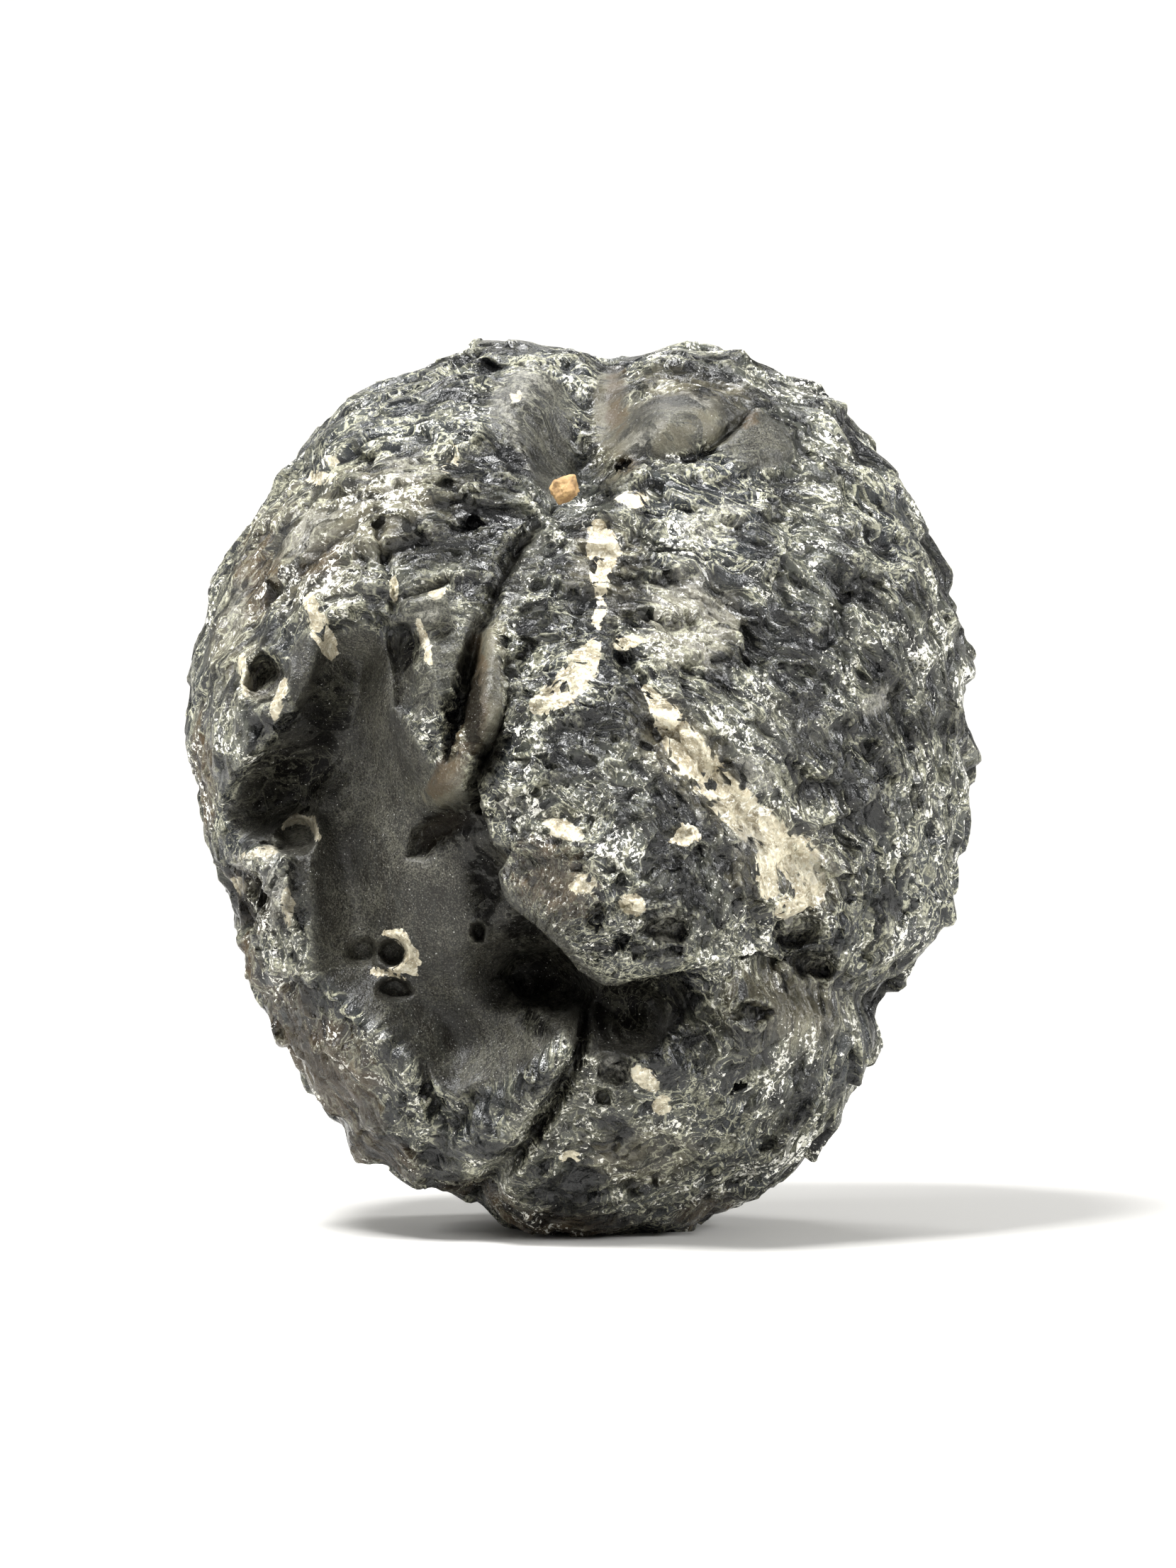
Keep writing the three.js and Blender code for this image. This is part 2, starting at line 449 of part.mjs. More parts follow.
function swellHeight(x, z, swells) {
  return swells.reduce((sum, swell) => sum + swell[5] * dome(scaledRadius(x, z, swell)), 0);
}

// The worked face at x, z: its height, and how far the plate's overhang shifts the surface.
function frontFace(x, z) {
  const edge = nearest(x, z, plateEdge);
  const over = edge.distance * edge.side;
  const wall = along(edge.run, plateEdge, 2);
  const plate = smoothstep(over, -wall, wall);
  const inHollow = insideDistance(x, z, hollow.outline);
  const floor = -hollow.depth * smoothstep(inHollow, -0.6, 3.0) + swellHeight(x, z, dentsBelowPlate);
  const lip = along(edge.run, plateEdge, 4) * Math.exp(-Math.max(over, 0) / lipFade);
  let height = floor * (1 - plate) - lip * plate;
  height += swellHeight(x, z, frontSwells);
  height += ledgeHeight(x, z, frontLedges);
  height += grooveHeight(x, z, frontGrooves);
  height += pitHeight(x, z, frontPits);
  for (const flat of flats) {
    const inside = insideDistance(x, z, flat.outline);
    height += flat.height * smoothstep(inside, -flat.wall, flat.wall);
  }
  const hang = along(edge.run, plateEdge, 3) * Math.exp(-((over / overhangReach) ** 2));
  const push = hang * (plate - 1.3 * (1 - plate));
  const away = edge.distance > 1e-6 ? (-edge.side * push) / edge.distance : 0;
  const shift = [(x - edge.px) * away, (z - edge.pz) * away];
  const calm = smoothstep(inHollow, -0.4, 0.8) * (1 - plate);
  return { height, shift, calm };
}

function backFace(x, z) {
  return swellHeight(x, z, backSwells) + ledgeHeight(x, z, backLedges)
    + grooveHeight(x, z, backGrooves) + pitHeight(x, z, backPits);
}

function calmPatch(x, z, patches) {
  return Math.max(...patches.map((patch) => 1 - smoothstep(scaledRadius(x, z, patch), 0.8, 1.15)));
}

function nodulePoint(d) {
  const point = plainPoint(d);
  const plain = point.clone();
  const normal = new THREE.Vector3(d.x, d.y * skin.bulge, d.z).normalize();
  const facing = smoothstep(Math.abs(d.y), -0.02, 0.3);
  let calm = 0;
  if (d.y < 0) {
    const face = frontFace(plain.x, plain.z);
    point.x += face.shift[0] * facing;
    point.z += face.shift[1] * facing;
    point.y -= face.height * facing;
    calm = Math.max(face.calm, calmPatch(plain.x, plain.z, frontCalm) * facing);
  } else {
    point.y += backFace(plain.x, plain.z) * facing;
    calm = calmPatch(plain.x, plain.z, backCalm) * smoothstep(d.y, 0.1, 0.3);
  }
  const rough = 1 - 0.9 * calm;
  const relief = skin.swellHeight * lumps(plain, skin.swellSize, skin.swellSeed)
    + skin.lumpHeight * lumps(plain, skin.lumpSize, skin.lumpSeed);
  point.addScaledVector(normal, skin.chipStrength * chips(plain, normal) * rough);
  const lumpy = normal.multiply(new THREE.Vector3(skin.outlineShare, 1, skin.outlineShare));
  return point.addScaledVector(lumpy, relief * (0.4 + 0.6 * rough));
}

// Solids

function closedBall(detail) {
  const ball = new THREE.IcosahedronGeometry(1, detail);
  ball.deleteAttribute('normal');
  ball.deleteAttribute('uv');
  return mergeVertices(ball);
}

function reshape(geometry, move) {
  const place = geometry.attributes.position;
  const point = new THREE.Vector3();
  for (let i = 0; i < place.count; i += 1) {
    const moved = move(point.fromBufferAttribute(place, i));
    place.setXYZ(i, moved.x, moved.y, moved.z);
  }
  return geometry;
}

function toSolid(geometry) {
  return new wasm.Manifold(new wasm.Mesh({
    numProp: 3,
    vertProperties: new Float32Array(geometry.attributes.position.array),
    triVerts: new Uint32Array(geometry.index.array),
  }));
}

function toGeometry(solid) {
  const mesh = solid.getMesh();
  const geometry = new THREE.BufferGeometry();
  geometry.setAttribute('position', new THREE.BufferAttribute(mesh.vertProperties, 3));
  geometry.setIndex(new THREE.BufferAttribute(mesh.triVerts, 1));
  return geometry;
}

async function buildNodule() {
  const ball = reshape(closedBall(body.detail), (p) => {
    p.y -= body.frontCrowding;
    return nodulePoint(p.normalize());
  });
  const spare = ball.attributes.position.count - body.corners;
  const lean = await new SimplifyModifier().modify(ball, spare);
  lean.translate(-body.middle[0], -body.middle[1], -body.footCut);
  const { width, thickness } = floorBlock;
  const below = new THREE.BoxGeometry(width, width, thickness);
  below.deleteAttribute('normal');
  below.deleteAttribute('uv');
  below.translate(0, 0, -thickness / 2);
  return toGeometry(toSolid(lean).subtract(toSolid(mergeVertices(below))));
}

// An angular sand grain, wedged in the bottom of the cleft just clear of the glass.
function buildGrain() {
  const [x, z] = grain.centre;
  const ball = reshape(closedBall(grain.detail), (p) => {
    const corner = 1 + grain.unevenness * lumps(p, grain.lumpSize, grain.lumpSeed);
    return p.multiply(new THREE.Vector3(...grain.size)).multiplyScalar(corner);
  });
  const seat = seatBehind(x, z);
  ball.computeBoundingBox();
  ball.translate(
    x - body.middle[0],
    seat - grain.clearance - ball.boundingBox.max.y - body.middle[1],
    z - body.footCut,
  );
  return ball;
}

// The y of the glass behind the grain, at its most forward.
function seatBehind(x, z) {
  let front = Infinity;
  for (let i = -4; i <= 4; i += 1) {
    for (let j = -4; j <= 4; j += 1) {
      const px = x + (i / 4) * grain.size[0];
      const pz = z + (j / 4) * grain.size[2];
      front = Math.min(front, frontSurface(px, pz));
    }
  }
  return front;
}

// The y of the finished worked face at x, z.
function frontSurface(x, z) {
  const d = new THREE.Vector3(x, 0, z - body.centreHeight);
  const reach = outlineReach(Math.atan2(d.z, d.x));
  d.divideScalar(reach);
  d.y = -Math.sqrt(Math.max(1 - d.x * d.x - d.z * d.z, 0));
  return nodulePoint(d).y;
}

const obsidian = new THREE.Group();

const noduleMesh = new THREE.Mesh(await buildNodule(), glass);
noduleMesh.name = 'nodule';
obsidian.add(noduleMesh);

const grainMesh = new THREE.Mesh(buildGrain(), sandstone);
grainMesh.name = 'lodged_grain';
obsidian.add(grainMesh);

export default obsidian;
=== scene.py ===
import math
import time

import bmesh
import bpy
import numpy as np
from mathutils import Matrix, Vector


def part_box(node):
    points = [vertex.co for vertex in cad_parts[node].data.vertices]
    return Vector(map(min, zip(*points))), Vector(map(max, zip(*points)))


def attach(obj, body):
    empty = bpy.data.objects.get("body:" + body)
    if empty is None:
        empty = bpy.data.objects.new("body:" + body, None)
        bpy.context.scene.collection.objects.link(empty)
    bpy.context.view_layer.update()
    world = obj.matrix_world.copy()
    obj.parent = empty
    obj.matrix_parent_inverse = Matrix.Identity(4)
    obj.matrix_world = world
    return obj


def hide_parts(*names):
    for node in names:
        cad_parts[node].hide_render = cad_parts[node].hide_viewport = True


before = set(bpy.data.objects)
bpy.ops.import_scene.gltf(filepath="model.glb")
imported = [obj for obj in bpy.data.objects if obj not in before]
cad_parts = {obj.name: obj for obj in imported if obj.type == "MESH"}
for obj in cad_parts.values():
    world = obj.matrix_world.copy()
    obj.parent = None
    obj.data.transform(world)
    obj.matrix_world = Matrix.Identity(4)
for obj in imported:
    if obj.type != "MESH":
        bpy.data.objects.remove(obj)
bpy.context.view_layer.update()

# A rough nodule of obsidian with a sand grain lodged in its cleft, standing on a pale floor.
# Shapes are worked out in millimetres and turned to metres when a mesh is written.

metresPerMm = 0.001
# keep a division or a comparison safe
tiny, noWeight = 1e-9, 1e-12
startTime = time.time()


def report(stage):
    print(f"{time.time() - startTime:6.1f} s  {stage}")


def linearColour(hexCode):
    parts = [int(hexCode[i:i + 2], 16) / 255 for i in (1, 3, 5)]
    return [c / 12.92 if c <= 0.04045 else ((c + 0.055) / 1.055) ** 2.4 for c in parts] + [1.0]


def addObject(name, data):
    item = bpy.data.objects.new(name, data)
    bpy.context.scene.collection.objects.link(item)
    return item


def newMaterial(name):
    material = bpy.data.materials.new(name)
    material.use_nodes = True
    return material, material.node_tree, material.node_tree.nodes["Principled BSDF"]


# An input is a fixed value or another node's output.
def addNode(tree, kind, inputs=None, **settings):
    node = tree.nodes.new(kind)
    for name, value in settings.items():
        setattr(node, name, value)
    for key, item in (inputs or {}).items():
        if isinstance(item, bpy.types.NodeSocket):
            tree.links.new(item, node.inputs[key])
        else:
            node.inputs[key].default_value = item
    return node


# Adds one node a row to the values: its name, what it does, and numbers or the names of values.
# RANGE takes where a mask starts and is full, then its values there if they aren't 0 and 1.
# MIX takes the share of the last value.
def addRows(tree, values, rows):
    for name, operation, *items in rows:
        items = [values[item] if isinstance(item, str) else item for item in items]
        if operation == "RANGE":
            ends = dict(zip(("From Min", "From Max", "To Min", "To Max"), items[1:]))
            inputs = {"Value": items[0], **ends}
            node = addNode(tree, "ShaderNodeMapRange", inputs, interpolation_type="SMOOTHSTEP")
        elif operation == "MIX":
            node = addNode(tree, "ShaderNodeMix", dict(zip((0, 2, 3), items)))
        else:
            node = addNode(tree, "ShaderNodeMath", dict(enumerate(items)), operation=operation)
        values[name] = node.outputs[0]


# The large forms of the nodule. Its tables match the solid's, but the plate's lower edge lies
# higher and hangs out further, the calm patches differ a little, and finer forms are added.
nodule = {
    "centreHeight": 23.0, "frontDepth": 16.2, "backDepth": 16.2, "inset": 0.15, "fullness": 0.92,
    "footCut": 0.6, "middle": (0.24, -0.91),
    # the ball's subdivisions, how much closer its corners lie on the front, and the faces kept
    "ballLevel": 9, "quickBallLevel": 8, "frontCrowding": 0.3, "faces": 196000,
    # the outline's bumps fade in between these distances from the middle of a face
    "outlineFade": (0.15, 0.95),
    # chips and lumps push the skin out as on a ball that is this much flatter
    "flatness": 1.15,
    "swellSize": 9.0, "swellHeight": 0.55, "lumpSize": 4.5, "lumpHeight": 0.4,
    "reliefSpread": (0.5, 1, 0.5),
    # chips: their size and how far each centre strays in its cell, then their form
    "chipSize": 2.6, "chipStrength": 0.42, "chipMargin": 0.1, "chipJitter": 0.8,
    "stretch": 1.5, "sharpness": 22.0, "liftWeight": 0.6,
    "tilt": 1.3, "dip": 0.4, "scoop": 0.2, "scoopLevel": 0.3,
    # chips turn from level to the outline's direction between these distances
    "chipTurn": (10, 18), "chipSlope": 0.1,
    # the reach of each kind of form around its path or outline
    "ledgeMargin": 3, "grooveMargin": 3.5, "flatMargin": 1.0, "pitMargin": 2.4,
    "pitWobble": 0.12, "pitLumpSize": 0.45, "pitWall": (0.55, 1.12), "pitRim": 1.25, "pitRimWidth": 0.22,
    "hollowDepth": 3.9, "hollowWall": (-0.6, 3.0), "hollowCalm": (-0.4, 0.8),
    "lipFade": 1.1, "overhangReach": 0.8, "undercut": 1.3, "edgeGap": 1e-6, "calmRim": 0.6,
    # the forms of a face fade out towards the edge between front and back
    "faceFade": (-0.02, 0.3), "backCalmFade": (0.1, 0.3),
    # calm patches: where their rim lies, how smooth they are and how much relief they keep
    "patchRim": (0.75, 1.15), "calmSmoothing": 0.9, "calmRelief": 0.4,
    # the share of the small chips' height that is left at the edge, and where they reach it in full
    "edgeRelief": 0.55, "edgeReliefFade": (0.05, 0.5),
    # the outline from the front, clockwise from the top: x, z
    "outline": [
        (0.2, 46), (1.7, 45.6), (3.2, 45.8), (4.8, 46.1), (6.8, 45.7), (8.8, 45.2), (10.8, 44.3),
        (12.8, 43), (14.6, 41.4), (16.3, 39.4), (17.6, 37.4), (18.8, 35), (19.5, 32.5), (19.9, 29.8),
        (20, 26.8), (19.9, 24), (19.5, 21), (18.9, 18.5), (18.2, 16.2), (17.1, 14.4), (16, 13.2),
        (15.3, 12), (15.4, 10.4), (14.8, 8.6), (13.8, 6.9), (12.5, 5.2), (10.9, 3.5), (9, 2.3),
        (7.2, 1.5), (6.4, 0.95), (4.8, 0.4), (3, 0), (1, -0.1), (-1.2, 0.1), (-3, 0.4), (-4.2, 0.9),
        (-5.3, 1.7), (-6.8, 2.2), (-8.6, 2.7), (-10.2, 3.5), (-11.6, 4.1), (-12.2, 5.6), (-13.2, 6.6),
        (-15.2, 9.9), (-17, 12.8), (-17.6, 15.8), (-18.9, 19.3), (-19.8, 23.5), (-20, 25.5),
        (-19.7, 30.5), (-18.4, 34.9), (-17.3, 36.8), (-15.1, 39.8), (-12.4, 42.8), (-10.6, 43.8),
        (-6.8, 45), (-5.2, 45.6), (-3.4, 46.1), (-1.2, 46.1),
    ],
    # the raised plate's edge: x, z, half width of the wall, overhang, fall of the plate's top
    "plateEdge": [
        (-0.9, 37.6, 0.6, 0, 0), (-1.5, 36.8, 0.45, 0.1, 0), (-3, 35, 0.45, 0.1, 0),
        (-3.9, 33, 0.45, 0.1, 0), (-4.1, 31, 0.35, 0.1, 0.2), (-3.4, 28.5, 0.3, 0.15, 0.4),
        (-3.6, 26.3, 0.25, 0.3, 0.5), (-4.8, 23.9, 0.22, 0.4, 0.6), (-4.4, 21.9, 0.22, 0.45, 0.6),
        (-4, 20.4, 0.22, 0.3, 0.6), (-3, 20.7, 0.22, 0.3, 0.6), (-3.7, 18.9, 0.22, 0.45, 0.8),
        (-3.1, 17.9, 0.2, 0.6, 1), (-1.8, 17.0, 0.2, 0.7, 1.2), (-0.6, 15.9, 0.2, 0.7, 1.3),
        (0.4, 14.7, 0.2, 0.7, 1.3), (1.5, 14.1, 0.2, 0.7, 1.3), (2.6, 14.5, 0.2, 0.7, 1.2),
        (4.4, 14.7, 0.22, 0.6, 1.1), (6.9, 14.9, 0.3, 0.5, 0.8), (7.6, 16, 0.5, 0.1, 0.4),
        (8.7, 17.3, 0.9, 0, 0), (10.6, 15.6, 1.5, 0, 0), (13, 13.6, 1.4, 0, 0), (15.5, 12.3, 1, 0, 0),
    ],
    "hollowOutline": [
        (-12.8, 31), (-10.4, 31.5), (-8.8, 30.6), (-8.4, 27.5), (-7.6, 25.5), (-6.4, 24), (-4, 23),
        (-2, 20), (1, 16.5), (2, 12), (-0.6, 11.2), (-2.4, 9.4), (-4.2, 8.2), (-6.2, 7.6), (-7.8, 8.6),
        (-9, 10.2), (-11.5, 12.4), (-13.4, 14), (-13.8, 17.5), (-14.4, 19.6), (-17.4, 20.6),
        (-18, 22.2), (-17.2, 23.8), (-15.6, 25.4), (-14.2, 27), (-13.2, 29),
    ],
}

# Swellings and dents: x, z, radius, radius, turn in degrees, height.
swells = {
    "belowPlate": [
        (-13.2, 23.6, 5.5, 5, 20, -1.8), (-11.2, 18.5, 3.2, 8, 0, -0.8),
        (-2.2, 14.4, 4.2, 3.2, 0, -3.6), (-5.5, 11.5, 5, 3.5, 0, -0.7), (3.2, 12.9, 5.4, 3.2, 0, -4.0),
        (9.5, 15.2, 5.5, 3.2, -20, -2), (14.2, 12.6, 4.5, 2.2, -35, -1.4),
        (-4.2, 18.6, 1.8, 3, 0, -1.2),
    ],
    "front": [
        (2.2, 22.5, 9.5, 13, 0, 2.3), (2.6, 17.6, 8, 5, 0, 1.3), (-9, 37, 8, 7.5, 20, 1.6),
        (-13, 35, 3.2, 3.4, 0, 0.8), (-17, 26.5, 3.2, 5, -20, 0.6), (8, 7.6, 8, 6.5, 10, 1.4),
        (11.5, 30, 9, 11, 0, 0.7), (-11.5, 8.2, 4, 4, 30, 0.6), (0.6, 41.8, 3.8, 6.5, -8, -2.4),
        (-0.6, 39.2, 2.4, 3.2, 20, -1.6), (1.7, 45.5, 1.6, 3, 0, -0.9), (4.6, 41.4, 3.9, 1.8, 14, 1.2),
        (5.4, 43.3, 3.4, 1, -6, 0.5), (-6.1, 23.4, 1.6, 1.1, 25, 1), (6.5, 35, 6, 4, -15, 0.5),
        (1.2, 34.5, 3, 3.5, 0, 0.6),
    ],
    "back": [
        (-6, 30, 11, 12, 0, 1.3), (9, 31, 9, 10, -15, 1.5), (2, 10, 9, 7, 0, 1.4),
        (-13, 13, 6, 8, 25, 0.9), (1.6, 42, 3, 7, 4, -2), (6, 21, 7.5, 6, 25, -2.6),
        (4, 20, 4, 3.2, 20, -1), (-11, 21.5, 4.5, 3.2, -20, -1.3),
    ],
}

# Ledges are raised on one side of a path: x, z, height, half width of the wall.
ledges = {
    "front": {
        "rightRimOfTheCleft": {"side": -1, "fade": 4, "path": [
            (-1.3, 37, 0.5, 0.25), (-0.2, 37.6, 0.9, 0.22), (1.2, 38.3, 1.2, 0.2),
            (2.7, 39.1, 1.2, 0.2), (4, 39.1, 0.8, 0.25), (5.4, 39.3, 0.4, 0.3), (6.5, 39.7, 0, 0.4),
        ]},
        "leftRimOfTheCleft": {"side": 1, "fade": 3, "path": [
            (-1.5, 36.8, 0.3, 0.3), (-2.2, 37.6, 0.7, 0.22), (-3.2, 38.9, 0.9, 0.25),
            (-4.4, 40.4, 0.7, 0.35), (-5.2, 42, 0.2, 0.5),
        ]},
        "upperRimOfTheHollow": {"side": 1, "fade": 2.6, "path": [
            (-18.4, 21.6, 0.3, 0.3), (-17.3, 23.6, 1, 0.3), (-15.8, 25.1, 1.4, 0.3),
            (-14.4, 26.5, 1.4, 0.3), (-13.2, 28.2, 1.2, 0.3), (-12.6, 29.8, 1, 0.3),
            (-12.2, 31.2, 0.9, 0.3), (-10.4, 31.8, 1, 0.35), (-9.2, 31.5, 0.9, 0.3),
            (-8.8, 30.2, 0.3, 0.4),
        ]},
        "creaseInTheHollow": {"side": -1, "fade": 1.6, "path": [
            (-13.3, 12.6, 0.3, 0.3), (-13.7, 14.6, 0.5, 0.3), (-13.3, 17, 0.5, 0.3),
            (-13.5, 19.4, 0.6, 0.25), (-13.1, 21, 0.9, 0.2), (-13.2, 22.4, 0.8, 0.25),
            (-13.8, 23.4, 0.2, 0.5),
        ]},
        "lipByTheCleft": {"side": -1, "fade": 1.5, "path": [
            (9.6, 42.6, 0.3, 0.3), (10.9, 41.4, 0.5, 0.2), (11, 40.2, 0.4, 0.25), (9, 39.4, 0.3, 0.3),
        ]},
    },
    "back": {
        "upperRimOfTheBackHollow": {"side": 1, "fade": 2.8, "path": [
            (-1.6, 19, 0.3, 0.3), (-1.2, 21.6, 1, 0.3), (0.4, 24.2, 1.4, 0.3), (3.2, 25.9, 1.6, 0.3),
            (6.8, 26.6, 1.5, 0.3), (10.2, 26.2, 1.1, 0.35), (13.2, 24.4, 0.5, 0.4),
        ]},
        "lowerRimOfTheBackHollow": {"side": -1, "fade": 2.2, "path": [
            (-3, 15.6, 0.2, 0.3), (0.4, 14.9, 0.9, 0.3), (3.6, 14.2, 1.1, 0.25), (7.2, 14.6, 1, 0.3),
            (10.4, 15.9, 0.5, 0.4),
        ]},
        "shoulder": {"side": -1, "fade": 2.4, "path": [
            (-16, 28, 0.3, 0.4), (-12.8, 26.6, 0.9, 0.3), (-9.4, 26.2, 1.1, 0.3), (-6, 27.2, 0.9, 0.3),
            (-3.4, 29.4, 0.3, 0.4),
        ]},
    },
}

# Grooves, and ribs where the depth is negative: x, z, half width, depth.
grooves = {
    "front": {
        "upperFissure": [
            (-1.4, 36.9, 0.5, 0.7), (-3.1, 35, 0.5, 0.8), (-4, 33, 0.5, 0.7), (-4.5, 31.2, 0.45, 0.7),
        ],
        "slotBesideThePlate": [
            (-4.8, 31.4, 0.35, 0.3), (-5.2, 29.6, 0.5, 1.8), (-5.6, 27.8, 0.5, 2.4),
            (-6, 26.2, 0.45, 1.9), (-6.3, 24.7, 0.3, 0.6),
        ],
        "gapUnderThePlate": [
            (-3.5, 27.4, 0.3, 0.4), (-3.9, 26, 0.45, 2), (-4.6, 24.7, 0.6, 2.8),
            (-5.1, 23.4, 0.5, 2.4), (-5, 22.3, 0.4, 1.4),
        ],
        "spindleRib": [
            (-4.3, 31, 0.4, -0.3), (-4.2, 29.5, 0.7, -0.9), (-4.35, 28, 0.9, -1.4),
            (-4.7, 26.5, 0.95, -1.6), (-5.2, 25.3, 0.8, -1.3), (-5.7, 24.4, 0.6, -0.7),
        ],
        "lowerFissure": [
            (0.6, 13.9, 0.4, 1), (0.3, 12, 0.45, 1.3), (-0.2, 10.2, 0.45, 1.5), (-1, 8.2, 0.5, 1.6),
            (-2.5, 6, 0.55, 1.7), (-4.2, 4.1, 0.7, 2.2), (-5.2, 2.8, 0.9, 2.8), (-5.6, 1.2, 1.2, 3),
        ],
        "leafShapedLobe": [
            (-0.5, 11, 0.9, -0.4), (-1.4, 9.4, 1.5, -1), (-3, 7.2, 1.9, -1.5), (-4.6, 5.2, 2, -1.5),
            (-6.2, 3.4, 1.5, -0.8),
        ],
        "behindTheLobe": [
            (-3.2, 9.2, 0.6, 0.4), (-5, 7.8, 0.8, 0.8), (-6.6, 6.4, 0.8, 0.8), (-7.8, 4.6, 0.7, 0.5),
        ],
        "crackBelowTheHollow": [
            (-7.7, 9.6, 0.2, 0.4), (-7.6, 8.4, 0.3, 1.2), (-7.3, 7.2, 0.5, 0.9),
        ],
        "veinAcrossThePlate": [
            (2.8, 28.2, 0.8, 0.4), (4.2, 25.8, 1.2, 0.8), (5.8, 24.1, 1.3, 0.9), (7.6, 22, 1.3, 0.9),
            (9.6, 20.3, 1.6, 0.8), (11.2, 18.4, 1.6, 0.6),
        ],
        "notchOnTheRight": [
            (12.3, 34.2, 0.4, 0.3), (12.9, 32.6, 0.6, 0.9), (12.8, 31, 0.6, 0.9),
            (11.9, 30.2, 0.4, 0.3),
        ],
        "slitByTheCleft": [
            (5.2, 39.5, 0.2, 0.3), (6.2, 40, 0.28, 0.9), (7.2, 40.8, 0.32, 1.1), (8, 41.5, 0.3, 0.9),
            (8.7, 42.3, 0.2, 0.2),
        ],
        "leftRib": [
            (-7.5, 30.8, 0.5, -0.3), (-7.2, 29.3, 0.6, -0.7), (-6.9, 27.6, 0.6, -0.6),
            (-6.5, 26, 0.5, -0.3),
        ],
        "crackOverTheHollow": [
            (-9.8, 36.2, 0.25, 0.3), (-9.6, 34.4, 0.35, 0.7), (-9, 33.2, 0.3, 0.5),
            (-9, 31.8, 0.3, 0.6),
        ],
        "stepAtTheUpperLeft": [
            (-14, 39.4, 0.5, 0.6), (-13.2, 38.2, 0.6, 0.9), (-13.6, 37.2, 0.4, 0.3),
        ],
        "grooveOnTheRightShoulder": [
            (11, 40.4, 0.4, 0.4), (12.6, 38.6, 0.5, 0.7), (14.6, 36.4, 0.5, 0.6),
            (15.6, 33.6, 0.5, 0.4),
        ],
        "stepAtTheFoot": [
            (0.6, 3, 0.4, 0.4), (2.6, 3.6, 0.5, 0.8), (4.6, 3.9, 0.4, 0.4),
        ],
        "notchAtTheFoot": [
            (6.5, 3.8, 0.4, 0.3), (6.4, 2.2, 0.6, 0.9), (6.4, 0.6, 0.8, 1.4),
        ],
    },
    "back": {
        "backFissure": [
            (1.6, 45, 0.6, 0.6), (1.2, 41, 0.6, 1.2), (0.2, 37, 0.55, 1.4), (-1, 33.2, 0.5, 1.3),
            (-1.2, 30, 0.5, 1.1), (-0.2, 27, 0.5, 0.7),
        ],
        "crackOnTheLeft": [
            (-9, 38.6, 0.3, 0.4), (-7.2, 36.6, 0.45, 0.9), (-6.6, 34.2, 0.45, 0.9),
            (-7.4, 31.6, 0.3, 0.4),
        ],
        "crackOnTheRight": [
            (11.4, 36, 0.3, 0.3), (12.4, 33.8, 0.5, 1), (12.2, 31.4, 0.5, 0.9), (11.2, 29.6, 0.3, 0.3),
        ],
        "fissureToTheFoot": [
            (-2.4, 11, 0.4, 0.4), (-3.6, 8.2, 0.5, 1), (-4.2, 5.2, 0.6, 1.3), (-5.2, 2.4, 0.9, 2),
            (-5.6, 1, 1.1, 2.2),
        ],
    },
}

flats = {
    "front": {
        "bandAcrossTheHollow": {"height": -0.8, "wall": 0.3, "outline": [
            (-8.4, 19.9), (-8.1, 21.1), (-6.6, 22.3), (-5, 22.9), (-4.4, 21.9), (-4.6, 21), (-6, 21.2),
            (-7, 20.3), (-7.7, 19.8),
        ]},
        "recessAtTheHollowRim": {"height": -0.9, "wall": 0.18, "outline": [
            (-9.2, 31), (-8.4, 31.2), (-7.9, 30.4), (-8.1, 29), (-7.7, 27.4), (-8.2, 26.7),
            (-8.9, 27.2), (-9, 28.8), (-9.3, 30.2),
        ]},
        "chipOnTheLeftRim": {"height": -1.7, "wall": 0.25, "outline": [
            (-18.9, 19.4), (-17, 19.4), (-15.8, 19), (-15.3, 18.4), (-15.4, 17.2), (-16.1, 16.3),
            (-17.4, 15.7), (-18.6, 16.6),
        ]},
        "cavityUnderThePlate": {"height": -1.6, "wall": 0.3, "outline": [
            (-3.9, 14), (-3.3, 14.9), (-2.3, 15.2), (-0.9, 15.3), (0.2, 14.2), (0.2, 12.6),
            (-1.2, 12.2), (-2.8, 12.8),
        ]},
        "planeBelowTheNose": {"height": -0.8, "wall": 0.25, "outline": [
            (0.9, 13.4), (3.6, 13.6), (4.2, 12), (3.9, 10.6), (2.3, 10.4), (0.7, 10.6),
        ]},
    },
}

# Gas pits: x, z, radius, radius, turn in degrees, depth, height of the rim.
pits = {
    "front": [
        (-15.6, 28.6, 1.05, 1.25, -20, 1.7, 0.35), (-14, 20.9, 0.95, 0.9, 0, 1.3, 0.25),
        (-9.3, 15.1, 0.75, 0.7, 20, 1.3, 0.3), (-10.8, 15.1, 0.9, 0.7, 0, 0.6, 0.1),
        (-9.2, 13.2, 0.85, 0.6, 0, 0.9, 0.1), (4.2, 16.7, 1.15, 0.75, 0, 1.1, 0.2),
        (0.9, 17.1, 0.5, 0.7, -15, 0.7, 0.15), (10.6, 16.3, 1.3, 0.9, 15, 1.6, 0.3),
        (11.7, 14.5, 1.1, 0.85, 0, 1.6, 0.3), (8.3, 12.3, 1.1, 0.5, 5, 0.9, 0.2),
        (5.7, 10.5, 1.1, 0.95, 0, 0.7, 0.15),
    ],
    "back": [
        (7.6, 22.4, 1.1, 0.9, 10, 1.2, 0.25), (3.2, 18.4, 0.8, 0.7, 0, 1, 0.2),
        (-11.8, 22.2, 1, 0.8, 0, 1.2, 0.25), (-5.4, 12.4, 0.9, 0.8, 0, 1.1, 0.2),
        (9.4, 9.4, 1, 0.7, 20, 1, 0.2), (-13.6, 32.6, 1.1, 0.9, 0, 1.3, 0.3),
    ],
}

